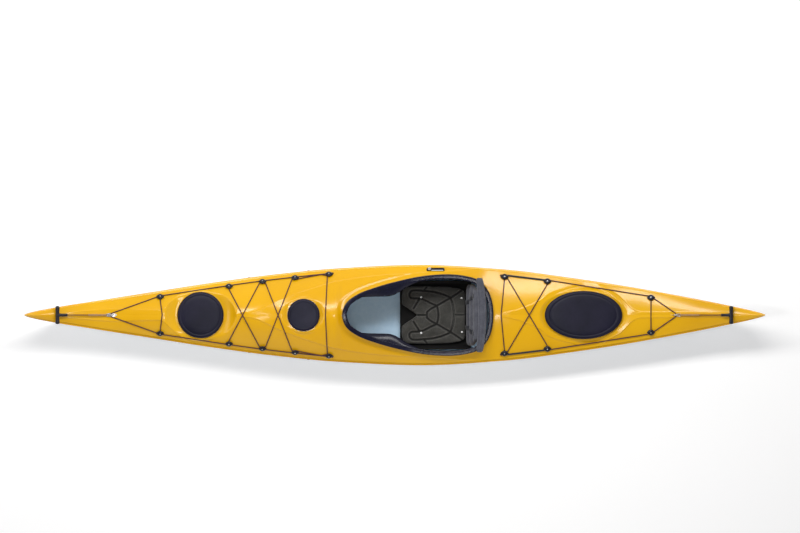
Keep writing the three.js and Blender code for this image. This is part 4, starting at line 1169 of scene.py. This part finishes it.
def handles():
    """At each end a toggle across the deck, its cord to a steel pad eye, and a sleeve over the cord's eye."""
    for end, toward in (("bow", 1), ("stern", -1)):
        body, x = f"{end}_handle", TOGGLES[end]
        z = float(crown_z(x)) + 16 * MM
        eye = PAD_EYES[end]
        stop = eye - toward * 22 * MM
        stop_z = float(crown_z(stop)) + 13 * MM
        half = [(0, 52.5), (5, 52.2), (8.6, 50.5), (10.6, 47), (11.6, 42), (10.4, 34), (9.8, 20), (10.4, 8)]
        bar = [(BAR_SCALE * r, up) for r, up in [(r, -up) for r, up in half] + [(10.8, 0)] + half[::-1]]
        shape, faces = turned(in_metres(bar), (0, 0, 0), 1, 40)
        grooves = 1 - 0.05 * (np.cos(shape[:, 2] * 2 * math.pi / 0.009) > 0.6) * (np.abs(shape[:, 2]) < 0.036)
        across_bar = np.column_stack([shape[:, 0] * grooves + x, shape[:, 2], shape[:, 1] * grooves + z])
        stem = [(11, 0), (10.6, 12), (8.6, 20), (7.9, 34), (7.9, 50), (8.4, 54), (8.2, 57.5), (6.5, 58.4)]
        turn = np.linspace(0, 2 * math.pi, 32, endpoint=False)
        rings = []
        for r, along in in_metres(stem + [(3.4, 58.4), (3.4, 50)]):
            spots = np.full(32, x + toward * along)
            rings.append(np.column_stack([spots, r * np.cos(turn), z + r * np.sin(turn)]))
        toggle = new_object(f"{end}_toggle_grip", *merge_parts([(across_bar, faces), skin(rings)]))
        finish(sharpen(toggle, 50), body, "black", f"{end}_toggle")
        u = np.linspace(0, 1, 24)[:, None]
        start = np.array((x + toward * 52 * MM, 0, z))
        path = np.array((stop, 0, stop_z)) + (start - (stop, 0, stop_z)) * u
        cord = cord_piece(f"{end}_handle_cord", path, 3 * MM, "cord", body, f"{end}_toggle_cord", sides=12)
        sleeve = path[0] + (path[-1] - path[0]) * np.linspace(0.02, 0.46, 40)[:, None]
        swell = 5.2 * MM + 0.8 * MM * np.abs(np.sin(np.linspace(0, 14, 40)))
        cord_piece(f"{end}_cord_sleeve", sleeve, swell, "sleeve", body, sides=12)
        link = []
        for a in np.linspace(0, 2 * math.pi, 41):
            reach = toward * (6 + 15 * math.cos(a)) * MM
            link.append((stop + reach, 6.5 * math.sin(a) * MM, stop_z - 1.0 * MM * math.cos(a)))
        finish(new_object(f"{end}_shackle", *tube(link, 2.1 * MM, 10)), body, "steel")
        pad_eye(end, eye)


def pad_eye(end, x):
    z = float(crown_z(x)) + 0.8 * MM
    slope = math.atan((float(crown_z(x + 0.03)) - float(crown_z(x - 0.03))) / 0.06)
    a = np.linspace(0, 2 * math.pi, 64, endpoint=False)
    outline = np.stack([33 * np.sign(np.cos(a)) * np.abs(np.cos(a)) ** 1.1, 11.5 * np.sin(a)], 1)
    levels = ((0.97, 0.6), (1, 1.2), (1, 2.6), (0.97, 3.2))
    plate = skin([np.column_stack([outline * scale, np.full(64, up)]) * MM for scale, up in levels])
    turn = np.linspace(-0.08, math.pi + 0.08, 33)
    arch = np.column_stack([16 * np.cos(turn), np.zeros(33), 3 + 17.5 * np.sin(turn)]) * MM
    parts = [plate, tube(arch, 2.9 * MM, 14)]
    for side in (-1, 1):
        dome = [(0, 5.4), (2.2, 5.2), (3.8, 4.3), (4.3, 3.2), (4.3, 2), (0, 2)]
        parts.append(turned(in_metres(dome), (side * 25 * MM, 0, 0), 1, 20))
    piece = new_object(f"{end}_eye", *merge_parts(parts))
    piece.data.transform(Matrix.Translation((x, 0, z)) @ Matrix.Rotation(-slope, 4, "Y"))
    finish(sharpen(piece, 50), "boat", "steel", f"{end}_pad_eye")


# ---------- skeg ----------

def skeg():
    corners = [
        (1382, 66), (1386, 53), (1600, 10), (1634, 4), (1662, 2.5), (1684, 7), (1702, 24), (1710, 44),
        (1706, 76), (1690, 84), (1398, 82), (1386, 78),
    ]
    outline = rounded(np.array(corners, float) * MM, 14 * MM, 6)
    along = np.roll(outline, -1, 0) - np.roll(outline, 1, 0)
    along /= np.linalg.norm(along, axis=1)[:, None]
    inwards = np.stack([-along[:, 1], along[:, 0]], 1)
    rings = []
    face = [(7, 4.5), (3.5, 3.9), (1.2, 2.6), (0, 1.0)]
    for inset, y in [(inset, -y) for inset, y in face] + face[::-1]:
        flat = outline + inwards * inset * MM
        rings.append(np.column_stack([flat[:, 0], np.full(len(flat), y * MM), flat[:, 1]]))
    build("skeg_fin", skin(rings), 50, "skeg", "black", "skeg_blade")
    cable = [
        (1370, 0, 148), (1330, 6, 150), (1250, 42, 160), (1150, 104, 170), (1050, 146, 174),
        (940, 176, 172), (800, 196, 168), (600, 212, 166), (480, 232, 170), (380, 243, 180),
        (310, 246, 191), (297, 248, 197),
    ]
    path = catmull_rom(np.array(cable, float) * MM, 160)
    finish(new_object("skeg_cable", *tube(path, 3 * MM, 12)), "boat", "black", "skeg_cable_housing")
    control()


def control():
    """The slider beside the cockpit that lets the skeg down: a frame with a pale scale strip, and a knob."""
    place = deck_place(0.235, 0.260, plain_deck_z)

    def oblong(half_length, half_width, corner):
        turns = np.array([(-1, -1), (1, -1), (1, 1), (-1, 1)])
        return rounded(turns * (half_length, half_width) * MM, corner * MM, 6)

    outer, hole = oblong(52, 11, 9), oblong(43, 3.4, 3)
    outside = [(outer, -4), (outer, 5), (outer * 0.985, 6.6), (outer * 0.965, 7.2)]
    inside = [(hole * 1.02, 7.0), (hole, 6.4), (hole, -4)]
    rings = [np.column_stack([flat, np.full(len(flat), up * MM)]) for flat, up in outside + inside]
    frame_piece = new_object("skeg_slider_frame", *skin(rings, joined=True))
    frame_piece.data.transform(place)
    finish(sharpen(frame_piece, 45), "boat", "black", "skeg_control_track")
    strip = box_mesh(Vector((-24, -9.6, 6.9)) * MM, Vector((44, -4.6, 7.7)) * MM)
    piece = new_object("skeg_slider_scale", *strip, smooth=False)
    piece.data.transform(place)
    finish(piece, "boat", "hull")
    spot = Matrix.Translation((-35 * MM, 0, 0))
    knob = [
        (0, 18), (4, 18.2), (7.4, 17.4), (8.8, 15.6), (8.2, 12.8), (8.8, 11), (9.4, 9.6), (8.8, 8.5),
        (2.4, 8.3), (2.4, -14), (0, -14),
    ]
    piece = new_object("skeg_slider_knob", *turned(in_metres(knob), (0, 0, 0), 1, 36))
    piece.data.transform(place @ spot)
    finish(sharpen(piece, 45), "skeg_knob", "steel", "skeg_control_knob")


# ---------- pieces that keep their CAD shape ----------

def dress():
    """Rounds the edges of the plain CAD pieces inside the hull, and gives them their materials."""
    looks = {
        "front_bulkhead": ("foam", 3), "rear_bulkhead": ("foam", 3), "day_hatch_pod": ("black", 1.2),
        "skeg_box": ("black", 1),
    }
    for side in ("left", "right"):
        looks[f"foot_rail_{side}"] = ("black", 2)
        looks[f"foot_pedal_{side}"] = ("black", 2.5)
        for n in (1, 2):
            looks[f"foot_rail_screw_{side}_{n}"] = ("steel", 0.8)
    for name, (look, width) in looks.items():
        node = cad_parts[name]
        node.data.materials.clear()
        node.data.materials.append(LOOKS[look])
        bevel(node, width * MM, 3, 25)


handles()
for end_name, end_fittings in (("bow", BOW_FITTINGS), ("stern", STERN_FITTINGS)):
    perimeter(end_fittings, PAD_EYES[end_name], end_name)
crossed_cords()
cord_across(BOW_FITTINGS[0], 12, "bow_front_cord", "bow_front_bungee")
cord_across(STERN_FITTINGS[-1], 0, "stern_rear_cord", "stern_rear_bungee")
hull()
deck()
coaming()
seat_pan()
seat_pad()
backrest()
hatches()
fittings()
skeg()
dress()


# ---------- floor and light ----------

def studio():
    reach, depth = 90, -2 * MM
    corners = [(-reach, -reach, depth), (reach, -reach, depth), (reach, reach, depth), (-reach, reach, depth)]
    floor = new_object("floor", corners, [(0, 1, 2, 3)])
    n = Nodes("studio_floor")
    n.shader.inputs["Emission Color"].default_value = (1, 1, 1, 1)
    n.shader.inputs["Emission Strength"].default_value = 0.2
    floor.data.materials.append(n.set(colour=(0.94, 0.94, 0.94, 1), roughness=0.9, specular=0.1))

    def area(name, size, place, target, power, colour=(1, 1, 1)):
        light = bpy.data.objects.new(name, bpy.data.lights.new(name, "AREA"))
        light.data.shape = "RECTANGLE"
        light.data.size, light.data.size_y = size
        light.data.energy = power
        light.data.color = colour
        light.location = place
        way = Vector(target) - Vector(place)
        light.rotation_euler = way.to_track_quat("-Z", "Y").to_euler()
        bpy.context.scene.collection.objects.link(light)

    area("key", (6.0, 0.8), (-0.3, 2.4, 4.2), (0, 0, 0.2), 162, (1, 0.99, 0.97))
    area("fill", (6.5, 2.0), (0.4, -4.6, 2.4), (0, 0, 0.2), 5, (0.93, 0.96, 1))
    area("bow", (2.5, 2.5), (-5.2, 0.6, 2.4), (0, 0, 0.2), 25)
    area("cockpit", (1.2, 0.5), (-0.1, -0.3, 5.0), (0, 0, 0.2), 34)
    world = bpy.data.worlds.new("studio")
    bpy.context.scene.world = world
    world.use_nodes = True
    nodes, links = world.node_tree.nodes, world.node_tree.links
    height = nodes.new("ShaderNodeSeparateXYZ")
    links.new(nodes.new("ShaderNodeTexCoord").outputs["Generated"], height.inputs["Vector"])
    sky = nodes.new("ShaderNodeValToRGB")
    links.new(height.outputs["Z"], sky.inputs["Fac"])
    below, high = sky.color_ramp.elements
    below.position, below.color = 0, (1.25, 1.25, 1.25, 1)
    high.position, high.color = 0.95, (0.29, 0.29, 0.30, 1)
    for position in (0.01, 0.35):
        sky.color_ramp.elements.new(position).color = (0.97, 0.97, 0.98, 1)
    links.new(sky.outputs["Color"], nodes["Background"].inputs["Color"])
    nodes["Background"].inputs["Strength"].default_value = 0.63


studio()
